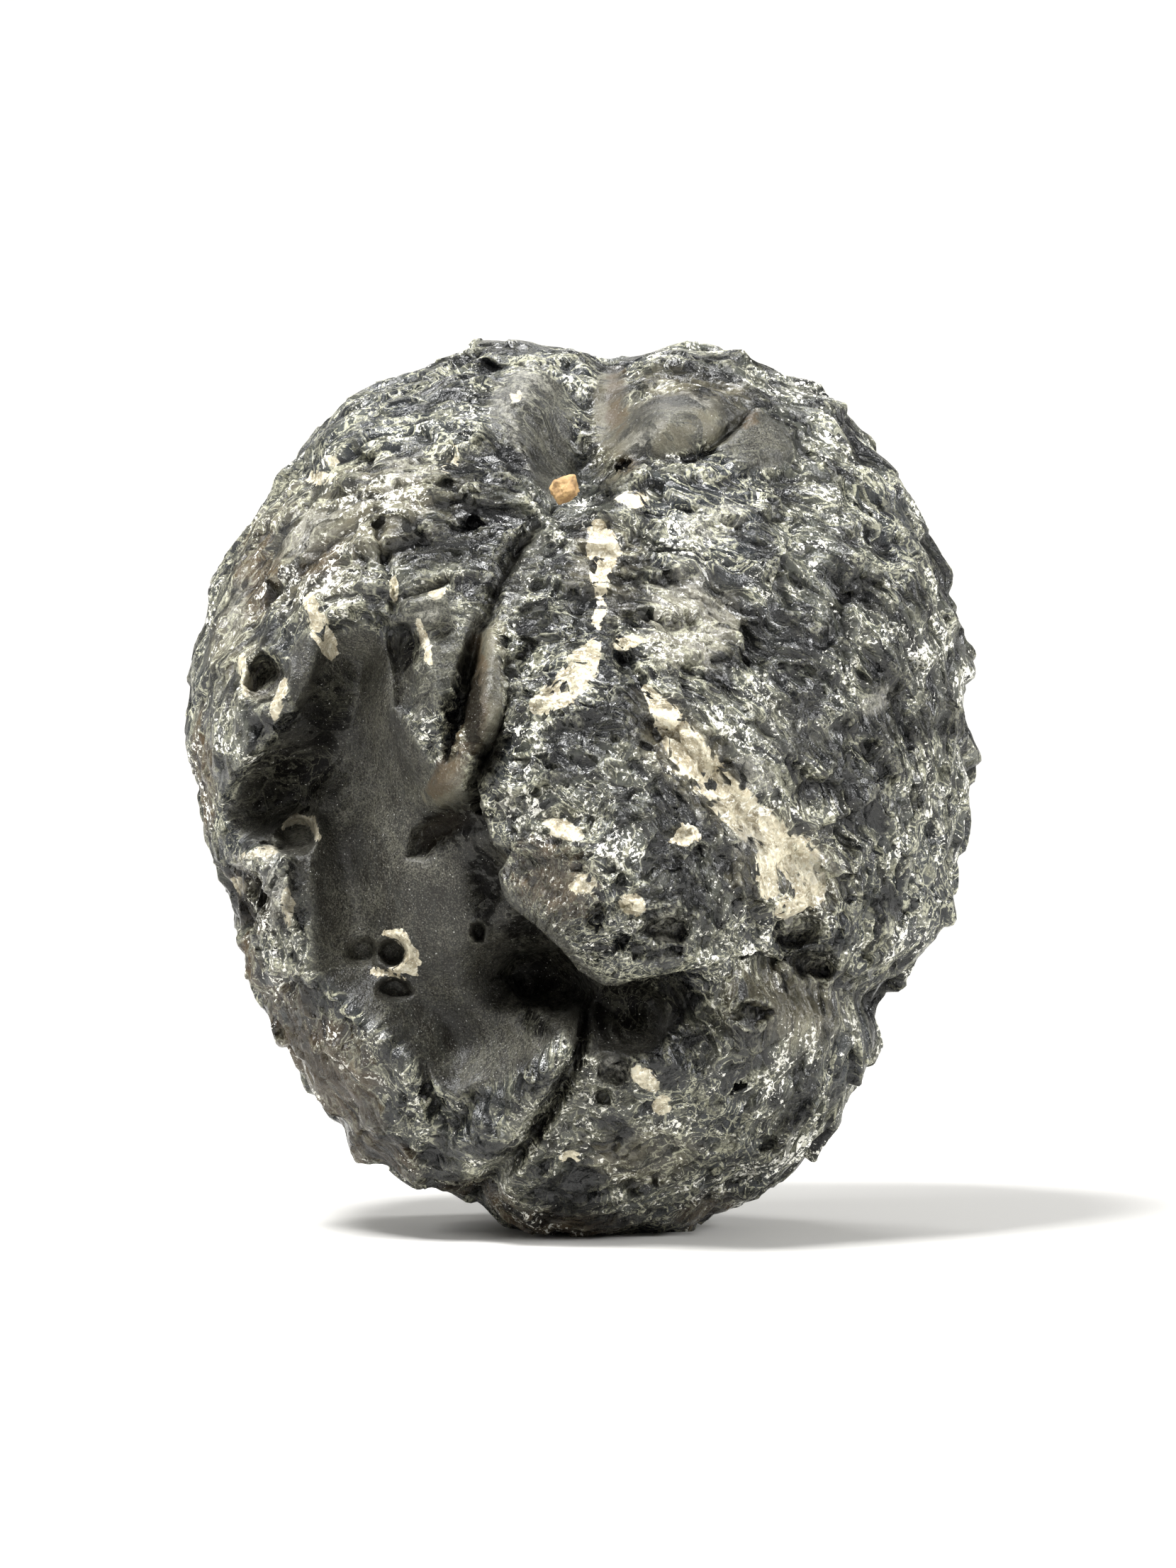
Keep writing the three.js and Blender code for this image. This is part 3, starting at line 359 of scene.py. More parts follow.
# Patches with few chips or none: x, z, radius, radius, turn in degrees, how calm.
calmPatches = {
    "front": [
        (4.4, 41.3, 3.8, 1.7, 14, 0.9), (8.6, 40.6, 2.4, 1.7, -20, 0.8),
        (-2.4, 42, 2.4, 2.6, 20, 0.72), (-1.5, 39.6, 1.3, 2.4, 15, 0.75),
        (1.8, 12, 3, 2.2, 0, 1), (-13, 28.5, 1.4, 2.6, 10, 1), (-8.8, 28.8, 0.9, 2.4, 0, 1),
        (-2, 6.6, 1.6, 4.4, -33, 0.5), (-16.2, 25.4, 2.6, 4, -20, 0.4), (-14.4, 30.2, 3, 1.8, 20, 0.4),
        (-7.6, 30, 2.2, 3.6, 0, 0.7), (-4.7, 27.8, 1.1, 4.6, 4, 0.9), (-6, 23.6, 2, 1.3, 25, 0.7),
        (-1.2, 18.4, 2.6, 2, -35, 0.5), (8.6, 11.5, 6.5, 2.6, 0, 0.45),
        (3.4, 8.8, 4.4, 3, 0, 0.4), (-13.2, 35.6, 3.0, 3.2, 0, 0.3), (-6.4, 33.4, 3, 2.4, 0, 0.45),
        (-11.8, 8.6, 3.4, 4.6, 35, 0.25), (-10.4, 9.4, 3.0, 2.2, 30, 0.5),
        (-17.6, 29.6, 2.0, 5.0, -8, 0.45), (0.6, 2.6, 6, 2.4, 0, 0.15), (10.4, 25.8, 2.4, 1.4, 0, 0.5),
        (-3.2, 33.4, 1, 3.4, -28, 0.6), (1.6, 42.4, 1, 2.6, 0, 0.8),
    ],
    "back": [
        (6.8, 22, 4.8, 2.8, 20, 0.75), (2.4, 18.4, 3.2, 1.6, 15, 0.6), (-11.4, 21.2, 2.6, 1.5, -20, 0.4),
        (10.4, 19.2, 2.6, 1.8, -30, 0.5),
    ],
}

# Details too small for the solid, in the same columns.
fineGrooves = {
    "crackAtTheLeftFlake": [(-15.8, 20.5, 0.14, 0.4), (-14.7, 20.3, 0.2, 0.9), (-13.9, 19.8, 0.16, 0.4)],
    "crackOverTheHollow": [(-8.4, 32.5, 0.25, 0.4), (-7.4, 32.9, 0.25, 0.5), (-6.5, 33.4, 0.3, 0.4)],
    "smallEye": [(-6.2, 35.9, 0.2, 0.2), (-5.2, 36.3, 0.3, 0.7), (-4.4, 36.1, 0.2, 0.2)],
    "topOfTheVein": [(1.6, 31.0, 0.3, 0.2), (2.1, 29.6, 0.5, 0.8), (2.8, 28.2, 0.4, 0.4)],
    "lowRidge": [
        (-1.6, 17.2, 0.3, -0.3), (-0.2, 15.9, 0.4, -0.5), (1.6, 14.9, 0.4, -0.5),
        (4.2, 15.3, 0.4, -0.5), (6.6, 15.4, 0.3, -0.3),
    ],
    "ridgeOverTheHole": [
        (2.2, 17.9, 0.3, -0.2), (3.4, 17.6, 0.4, -0.6), (4.8, 17.6, 0.4, -0.6),
        (6.2, 16.9, 0.4, -0.5), (6.9, 16.0, 0.3, -0.3),
    ],
    "ridgeLeftOfTheHole": [
        (1.2, 18.4, 0.3, -0.2), (1.9, 17.2, 0.4, -0.6), (2.6, 16.2, 0.4, -0.5), (3.4, 15.7, 0.3, -0.2),
    ],
    "dipUnderTheRidge": [(0.4, 15.6, 0.4, 0.3), (2.0, 15.9, 0.5, 0.6), (3.4, 16.2, 0.5, 0.5)],
    "flakeEdge": [
        (-2.6, 20.4, 0.3, -0.2), (-1.6, 21.4, 0.35, -0.5), (-0.6, 20.8, 0.35, -0.5), (-0.3, 20.0, 0.3, -0.2),
    ],
    "sideGroove": [(17.6, 27.4, 0.4, 0.2), (18.4, 26.0, 0.5, 0.7), (18.9, 24.6, 0.4, 0.3)],
}
finePits = [
    (-5.0, 16.2, 0.38, 0.48, 10, 1.4, 0.15), (1.9, 16.0, 0.42, 0.4, 0, 0.4, 0.1),
    (1.2, 8.1, 0.5, 0.45, 30, 0.7, 0.1), (7.8, 8.5, 0.45, 0.35, 0, 0.7, 0.1),
    (9.2, 5.5, 0.7, 0.5, -20, 0.6, 0.1), (1.6, 9.6, 0.9, 0.8, 0, 0.7, 0.15),
    (2.2, 39.25, 0.38, 0.32, 0, 1.0, 0.1),
]
fineFlats = {
    "flake": {"height": 0.55, "wall": 0.12, "outline": [
        (-16.7, 19.6), (-16.2, 20.2), (-15.5, 20.4), (-14.8, 20.1), (-14.3, 19.9), (-14.2, 19.2),
        (-14.0, 18.2), (-14.0, 16.3), (-15.6, 16.3), (-15.2, 17.6), (-15.2, 18.6), (-15.7, 19.1),
        (-16.4, 19.2),
    ]},
    "facet": {"height": 0.45, "wall": 0.15, "outline": [
        (-8.6, 31.3), (-7.0, 31.0), (-6.4, 31.6), (-6.5, 33.1), (-7.4, 32.8), (-8.4, 32.4),
    ]},
}


def smoothStep(low, high, value):
    t = np.clip((value - low) / (high - low), 0.0, 1.0)
    return t * t * (3 - 2 * t)


def dome(radius):
    return np.clip(1 - radius * radius, 0, None) ** 2


def scaledRadius(x, z, ellipse):
    cx, cz, rx, rz, turn = ellipse[:5]
    c, s = math.cos(math.radians(turn)), math.sin(math.radians(turn))
    return np.hypot(((x - cx) * c + (z - cz) * s) / rx, (-(x - cx) * s + (z - cz) * c) / rz)


# Distance, place along the path, side (1 on the left of travel) and the nearest point.
def nearestOnPath(x, z, path):
    shape = x.shape
    distance, run, side = np.full(shape, np.inf), np.zeros(shape), np.zeros(shape)
    px, pz = np.zeros(shape), np.zeros(shape)
    for i, (start, end) in enumerate(zip(path[:-1], path[1:])):
        ax, az = start[:2]
        ex, ez = end[0] - ax, end[1] - az
        t = np.clip(((x - ax) * ex + (z - az) * ez) / (ex * ex + ez * ez), 0, 1)
        qx, qz = ax + t * ex, az + t * ez
        d = np.hypot(x - qx, z - qz)
        closer = d < distance - tiny
        distance = np.where(closer, d, distance)
        run = np.where(closer, i + t, run)
        side = np.where(closer, np.sign(ex * (z - az) - ez * (x - ax)), side)
        px, pz = np.where(closer, qx, px), np.where(closer, qz, pz)
    return distance, run, side, px, pz


def alongPath(run, path, column):
    return np.interp(run, np.arange(len(path)), [point[column] for point in path])


def insideDistance(x, z, points):
    closed = list(points) + [points[0]]
    inside = np.zeros(x.shape, bool)
    for (ax, az), (bx, bz) in zip(closed[:-1], closed[1:]):
        if az != bz:
            inside ^= ((az > z) != (bz > z)) & (x < (bx - ax) * (z - az) / (bz - az) + ax)
    distance = nearestOnPath(x, z, closed)[0]
    return np.where(inside, distance, -distance)


def near(x, z, points, margin):
    xs, zs = [p[0] for p in points], [p[1] for p in points]
    inWidth = (x > min(xs) - margin) & (x < max(xs) + margin)
    return np.where(inWidth & (z > min(zs) - margin) & (z < max(zs) + margin))[0]


# The same hash as in the solid: cell numbers to three values from 0 to 1.
def cellValues(i, j, k, seed):
    u = np.uint32
    h = i.astype(np.int64).astype(u) * u(0x27d4eb2d) ^ j.astype(np.int64).astype(u) * u(0x165667b1)
    h = h ^ k.astype(np.int64).astype(u) * u(0x9e3779b1) ^ u(seed * 0x85ebca6b & 0xffffffff)
    h = (h ^ h >> u(15)) * u(0x2c1b3c6d)
    h = (h ^ h >> u(12)) * u(0x297a2d39)
    h ^= h >> u(15)
    return [(h >> u(shift) & u(1023)) / 1023.0 for shift in (0, 10, 20)]


# Soft lumps from -1 to 1, one value on each corner of a grid.
def lumps(points, size, seed):
    q = points / size
    cell = np.floor(q)
    f = q - cell
    f = f * f * f * (f * (f * 6 - 15) + 10)
    total = np.zeros(len(points))
    for corner in range(8):
        step = np.array([corner & 1, corner >> 1 & 1, corner >> 2 & 1])
        value = cellValues(*(cell + step).T, seed)[0] * 2 - 1
        total += value * np.prod(np.where(step, f, 1 - f), axis=1)
    return total


# Chips lie level in the middle of the face and follow the outline near it.
def chipDirection(x, z):
    dx, dz = x, z - nodule["centreHeight"]
    r = np.hypot(dx, dz) + tiny
    k = smoothStep(*nodule["chipTurn"], r)
    turn = np.where(dz >= 0, 1.0, -1.0)
    gx, gz = 1 - k + k * turn * dz / r, nodule["chipSlope"] * (1 - k) - k * turn * dx / r
    length = np.hypot(gx, gz) + tiny
    return gx / length, gz / length


# Overlapping chips: each cell is a shallow scoop with a tilt of its own.
def chips(points, normals, size, seed):
    q = points / size
    base = np.floor(q)
    closest, weights, height = np.full(len(points), np.inf), np.zeros(len(points)), np.zeros(len(points))
    steps = [(a, b, c) for a in (-1, 0, 1) for b in (-1, 0, 1) for c in (-1, 0, 1)]
    for step in steps:
        i, j, k = (base + step).T
        jitter = np.stack(cellValues(i, j, k, seed), axis=1)
        w = q - base - step - nodule["chipMargin"] - nodule["chipJitter"] * jitter
        lift = (w * normals).sum(axis=1)
        w -= lift[:, None] * normals
        gx, gz = chipDirection((i + 0.5) * size, (k + 0.5) * size)
        u = (w[:, 0] * gx + w[:, 2] * gz) / nodule["stretch"]
        v = (-w[:, 0] * gz + w[:, 2] * gx) * math.sqrt(nodule["stretch"])
        distance = u * u + v * v + w[:, 1] ** 2 + nodule["liftWeight"] * lift * lift
        t = np.stack(cellValues(i, j, k, seed + 7), axis=1)
        lean = ((t - 0.5) * w).sum(axis=1)
        weight = np.exp(-nodule["sharpness"] * distance)
        height += weight * (nodule["tilt"] * lean - nodule["dip"] * w[:, 2])
        weights += weight
        closest = np.minimum(closest, distance)
    bowl = nodule["scoop"] * (closest - nodule["scoopLevel"])
    return (height / (weights + noWeight) + bowl) * size


# The outline's reach from the centre at each angle, a smooth curve through its points.
def outlineReach(angle):
    z0, inset = nodule["centreHeight"], nodule["inset"]
    points = sorted((math.atan2(z - z0, x), math.hypot(x, z - z0) - inset) for x, z in nodule["outline"])
    a, r = np.array(points).T
    mean = r.mean()
    a = np.concatenate([a[-2:] - 2 * math.pi, a, a[:3] + 2 * math.pi])
    r = np.concatenate([r[-2:], r, r[:3]])
    i = np.searchsorted(a, angle, side="right") - 1
    span = a[i + 1] - a[i]
    u = (angle - a[i]) / span
    m1 = (r[i + 1] - r[i - 1]) / (a[i + 1] - a[i - 1]) * span
    m2 = (r[i + 2] - r[i]) / (a[i + 2] - a[i]) * span
    h = (2 * u**3 - 3 * u**2 + 1) * r[i] + (u**3 - 2 * u**2 + u) * m1
    return h + (3 * u**2 - 2 * u**3) * r[i + 1] + (u**3 - u**2) * m2, mean


def plainPoints(d):
    around, mean = outlineReach(np.arctan2(d[:, 2], d[:, 0]))
    reach = mean + (around - mean) * smoothStep(*nodule["outlineFade"], np.hypot(d[:, 0], d[:, 2]))
    depth = np.where(d[:, 1] < 0, nodule["frontDepth"], nodule["backDepth"])
    y = depth * np.sign(d[:, 1]) * np.abs(d[:, 1]) ** nodule["fullness"]
    return np.stack([reach * d[:, 0], y, nodule["centreHeight"] + reach * d[:, 2]], axis=1)


def swellHeight(x, z, shapes):
    return sum(shape[5] * dome(scaledRadius(x, z, shape)) for shape in shapes)


def addLedges(height, x, z, shapes):
    for ledge in shapes.values():
        path = ledge["path"]
        k = near(x, z, path, nodule["ledgeMargin"] * ledge["fade"])
        distance, run, side, _, _ = nearestOnPath(x[k], z[k], path)
        over = distance * side * ledge["side"]
        wall = alongPath(run, path, 3)
        fall = np.exp(-((np.clip(over, 0, None) / ledge["fade"]) ** 2))
        height[k] += alongPath(run, path, 2) * smoothStep(-wall, wall, over) * fall


def addGrooves(height, x, z, paths):
    for path in paths:
        k = near(x, z, path, nodule["grooveMargin"])
        distance, run, _, _, _ = nearestOnPath(x[k], z[k], path)
        across = distance / alongPath(run, path, 2)
        height[k] -= alongPath(run, path, 3) * np.clip(1 - across * across * 0.5, 0, None) ** 3


def addFlats(height, x, z, shapes):
    for flat in shapes.values():
        k = near(x, z, flat["outline"], nodule["flatMargin"])
        inside = insideDistance(x[k], z[k], flat["outline"])
        height[k] += flat["height"] * smoothStep(-flat["wall"], flat["wall"], inside)


def addPits(height, x, z, shapes):
    for pit in shapes:
        k = near(x, z, [pit], nodule["pitMargin"] * max(pit[2], pit[3]))
        place = np.stack([x[k], np.full(len(k), pit[5]), z[k]], axis=1)
        wobble = nodule["pitWobble"] * lumps(place, nodule["pitLumpSize"] * pit[2], 51)
        r = scaledRadius(x[k], z[k], pit) * (1 + wobble)
        height[k] -= pit[5] * (1 - smoothStep(*nodule["pitWall"], r))
        height[k] += pit[6] * np.exp(-(((r - nodule["pitRim"]) / nodule["pitRimWidth"]) ** 2))


def plateAndHollow(x, z):
    edge = nodule["plateEdge"]
    distance, run, side, px, pz = nearestOnPath(x, z, edge)
    over = distance * side
    wall = alongPath(run, edge, 2)
    plate = smoothStep(-wall, wall, over)
    return distance, run, side, px, pz, over, plate, insideDistance(x, z, nodule["hollowOutline"])


def frontFace(x, z):
    edge = nodule["plateEdge"]
    distance, run, side, px, pz, over, plate, inHollow = plateAndHollow(x, z)
    floor = swellHeight(x, z, swells["belowPlate"])
    floor = floor - nodule["hollowDepth"] * smoothStep(*nodule["hollowWall"], inHollow)
    lip = alongPath(run, edge, 4) * np.exp(-np.clip(over, 0, None) / nodule["lipFade"])
    height = floor * (1 - plate) - lip * plate + swellHeight(x, z, swells["front"])
    addLedges(height, x, z, ledges["front"])
    addGrooves(height, x, z, grooves["front"].values())
    addGrooves(height, x, z, fineGrooves.values())
    addFlats(height, x, z, flats["front"])
    addFlats(height, x, z, fineFlats)
    addPits(height, x, z, pits["front"] + finePits)
    # the plate's edge leans out over the hollow, and the wall below it draws back
    hang = alongPath(run, edge, 3) * np.exp(-((over / nodule["overhangReach"]) ** 2))
    away = -side * hang * (plate - nodule["undercut"] * (1 - plate)) / np.maximum(distance, nodule["edgeGap"])
    calm = smoothStep(*nodule["hollowCalm"], inHollow) * (1 - plate)
    calm = np.maximum(calm, smoothStep(0, nodule["calmRim"], hang))
    return height, (x - px) * away, (z - pz) * away, calm


def backFace(x, z):
    height = swellHeight(x, z, swells["back"])
    addLedges(height, x, z, ledges["back"])
    addGrooves(height, x, z, grooves["back"].values())
    addPits(height, x, z, pits["back"])
    return height


def calmPatch(x, z, patches):
    rim = nodule["patchRim"]
    return np.max([patch[5] * (1 - smoothStep(*rim, scaledRadius(x, z, patch))) for patch in patches], axis=0)


# Unit directions to finished points in millimetres, and how rough each one is.
def shapeNodule(d):
    plain = plainPoints(d)
    points = plain.copy()
    normals = d * (1, nodule["flatness"], 1)
    normals /= np.linalg.norm(normals, axis=1)[:, None]
    facing = smoothStep(*nodule["faceFade"], np.abs(d[:, 1]))
    calm = np.zeros(len(d))
    front, back = np.where(d[:, 1] < 0)[0], np.where(d[:, 1] >= 0)[0]
    x, z = plain[front, 0], plain[front, 2]
    height, shiftX, shiftZ, faceCalm = frontFace(x, z)
    points[front, 0] += shiftX * facing[front]
    points[front, 1] -= height * facing[front]
    points[front, 2] += shiftZ * facing[front]
    calm[front] = np.maximum(faceCalm, calmPatch(x, z, calmPatches["front"]) * facing[front])
    x, z = plain[back, 0], plain[back, 2]
    points[back, 1] += backFace(x, z) * facing[back]
    calm[back] = calmPatch(x, z, calmPatches["back"]) * smoothStep(*nodule["backCalmFade"], d[back, 1])
    rough = 1 - nodule["calmSmoothing"] * calm
    relief = nodule["swellHeight"] * lumps(plain, nodule["swellSize"], 3)
    relief += nodule["lumpHeight"] * lumps(plain, nodule["lumpSize"], 5)
    relief *= nodule["calmRelief"] + (1 - nodule["calmRelief"]) * rough
    chipped = nodule["chipStrength"] * chips(plain, normals, nodule["chipSize"], 11)
    points += normals * (chipped * rough)[:, None]
    points += normals * nodule["reliefSpread"] * relief[:, None]
    return points, rough


# Small chips over the whole skin, made by Geometry Nodes.
# They lie in rings round an axis through the lower front, and are drawn out along the rings.
swirl = {"axis": (-0.13, -0.9, -0.42), "ringRadius": 10.0, "acrossRing": 27.0}
chipping = {
    "inputs": {
        "Large Chip": 1.7, "Medium Chip": 0.95, "Small Chip": 0.55,
        "Large Relief": 0.42, "Medium Relief": 0.35, "Small Relief": 0.2, "Seed": 4.0,
    },
    "scoop": 0.3, "scoopLevel": 0.25, "smoothness": 0.12,
}


# Ring coordinates of points in the drawing: free of a seam, in about millimetres.
def swirlPlace(points):
    axis = Vector(swirl["axis"]).normalized()
    side = axis.cross(Vector((0, 0, 1))).normalized()
    d = points - (0, 0, nodule["centreHeight"])
    d /= np.linalg.norm(d, axis=1)[:, None]
    along, u, v = d @ np.array(axis), d @ np.array(side), d @ np.array(axis.cross(side))
    ring = np.hypot(u, v) + tiny
    radius, across = swirl["ringRadius"], swirl["acrossRing"] * np.arctan2(ring, along)
    return np.stack([radius * u / ring, radius * v / ring, across], axis=1)


# One grade of chips: the height of each cell's own tilt and scoop.
def chipHeight(tree, place, size, relief):
    values = {"size": size, "relief": relief}
    addRows(tree, values, [("scale", "DIVIDE", 1.0, "size")])
    q = addNode(tree, "ShaderNodeVectorMath", {0: place, "Scale": values["scale"]}, operation="SCALE")
    cells = addNode(
        tree, "ShaderNodeTexVoronoi",
        {"Vector": q.outputs[0], "Scale": 1.0, "Smoothness": chipping["smoothness"]},
        feature="SMOOTH_F1",
    ).outputs
    inputs = {0: q.outputs[0], 1: cells["Position"]}
    fromCentre = addNode(tree, "ShaderNodeVectorMath", inputs, operation="SUBTRACT").outputs[0]
    inputs = {0: cells["Color"], 1: (0.5, 0.5, 0.5)}
    tilt = addNode(tree, "ShaderNodeVectorMath", inputs, operation="SUBTRACT").outputs[0]
    lean = addNode(tree, "ShaderNodeVectorMath", {0: fromCentre, 1: tilt}, operation="DOT_PRODUCT")
    values.update(distance=cells["Distance"], lean=lean.outputs["Value"])
    addRows(tree, values, [
        ("bowl", "MULTIPLY", "distance", "distance"),
        ("bowl", "SUBTRACT", "bowl", chipping["scoopLevel"]),
        ("bowl", "MULTIPLY", "bowl", chipping["scoop"]),
        ("form", "ADD", "lean", "bowl"),
        ("height", "MULTIPLY", "size", "relief"),
        ("height", "MULTIPLY", "form", "height"),
    ])
    return values["height"]


def buildChipTree(material):
    tree = bpy.data.node_groups.new("skinChips", "GeometryNodeTree")
    tree.interface.new_socket("Geometry", in_out="INPUT", socket_type="NodeSocketGeometry")
    for name, value in chipping["inputs"].items():
        socket = tree.interface.new_socket(name, in_out="INPUT", socket_type="NodeSocketFloat")
        socket.default_value = value
    tree.interface.new_socket("Geometry", in_out="OUTPUT", socket_type="NodeSocketGeometry")
    given = addNode(tree, "NodeGroupInput").outputs
    done = addNode(tree, "NodeGroupOutput")
    ring, rough = [
        addNode(tree, "GeometryNodeInputNamedAttribute", {"Name": name}, data_type=kind).outputs[0]
        for name, kind in (("swirl", "FLOAT_VECTOR"), ("rough", "FLOAT"))
    ]
    start = addNode(tree, "ShaderNodeVectorMath", {0: ring, 1: given["Seed"]}, operation="ADD").outputs[0]
    values = {
        grade: chipHeight(tree, start, given[f"{grade} Chip"], given[f"{grade} Relief"])
        for grade in ("Large", "Medium", "Small")
    }
    values["rough"] = rough
    addRows(tree, values, [
        ("total", "ADD", "Large", "Medium"),
        ("total", "ADD", "total", "Small"),
        ("total", "MULTIPLY", "total", "rough"),
        ("total", "MULTIPLY", "total", metresPerMm),
    ])
    normal = addNode(tree, "GeometryNodeInputNormal").outputs[0]
    inputs = {0: normal, "Scale": values["total"]}
    offset = addNode(tree, "ShaderNodeVectorMath", inputs, operation="SCALE").outputs[0]
    inputs = {"Geometry": given["Geometry"], "Offset": offset}
    moved = addNode(tree, "GeometryNodeSetPosition", inputs).outputs[0]
    real = addNode(tree, "GeometryNodeRealizeInstances", {"Geometry": moved}).outputs[0]
    finish = addNode(tree, "GeometryNodeSetMaterial", {"Geometry": real, "Material": material})
    tree.links.new(finish.outputs[0], done.inputs["Geometry"])
    return tree


# The object's mesh after the tree, as a plain object. The source goes.
def treeResult(source, tree, inputs, name):
    modifier = source.modifiers.new("tree", "NODES")
    modifier.node_group = tree
    keys = {item.name: item.identifier for item in tree.interface.items_tree if item.in_out == "INPUT"}
    for label, value in inputs.items():
        modifier[keys[label]] = value
    depsgraph = bpy.context.evaluated_depsgraph_get()
    mesh = bpy.data.meshes.new_from_object(source.evaluated_get(depsgraph), depsgraph=depsgraph)
    source.modifiers.remove(modifier)
    result = addObject(name, mesh)
    oldMesh = source.data
    bpy.data.objects.remove(source)
    bpy.data.meshes.remove(oldMesh)
    return result


def ballMesh(name, level):
    mesh = bpy.data.meshes.new(name)
    ball = bmesh.new()
    bmesh.ops.create_icosphere(ball, subdivisions=level, radius=1.0)
    ball.to_mesh(mesh)
    ball.free()
    return mesh


def readPoints(mesh):
    flat = np.zeros(len(mesh.vertices) * 3, np.float32)
    mesh.vertices.foreach_get("co", flat)
    return flat.reshape(-1, 3).astype(float)


def writePoints(mesh, points):
    mesh.vertices.foreach_set("co", (points * metresPerMm).astype(np.float32).ravel())
    mesh.update()


def writeMask(mesh, name, values):
    mask = mesh.attributes.get(name) or mesh.attributes.new(name, "FLOAT", "POINT")
    mask.data.foreach_set("value", values.astype(np.float32))


def writeVector(mesh, name, values):
    mask = mesh.attributes.get(name) or mesh.attributes.new(name, "FLOAT_VECTOR", "POINT")
    mask.data.foreach_set("vector", values.astype(np.float32).ravel())


# From the drawing's place to the part's own frame.
def toFrame(points):
    return points - (nodule["middle"][0], nodule["middle"][1], nodule["footCut"])


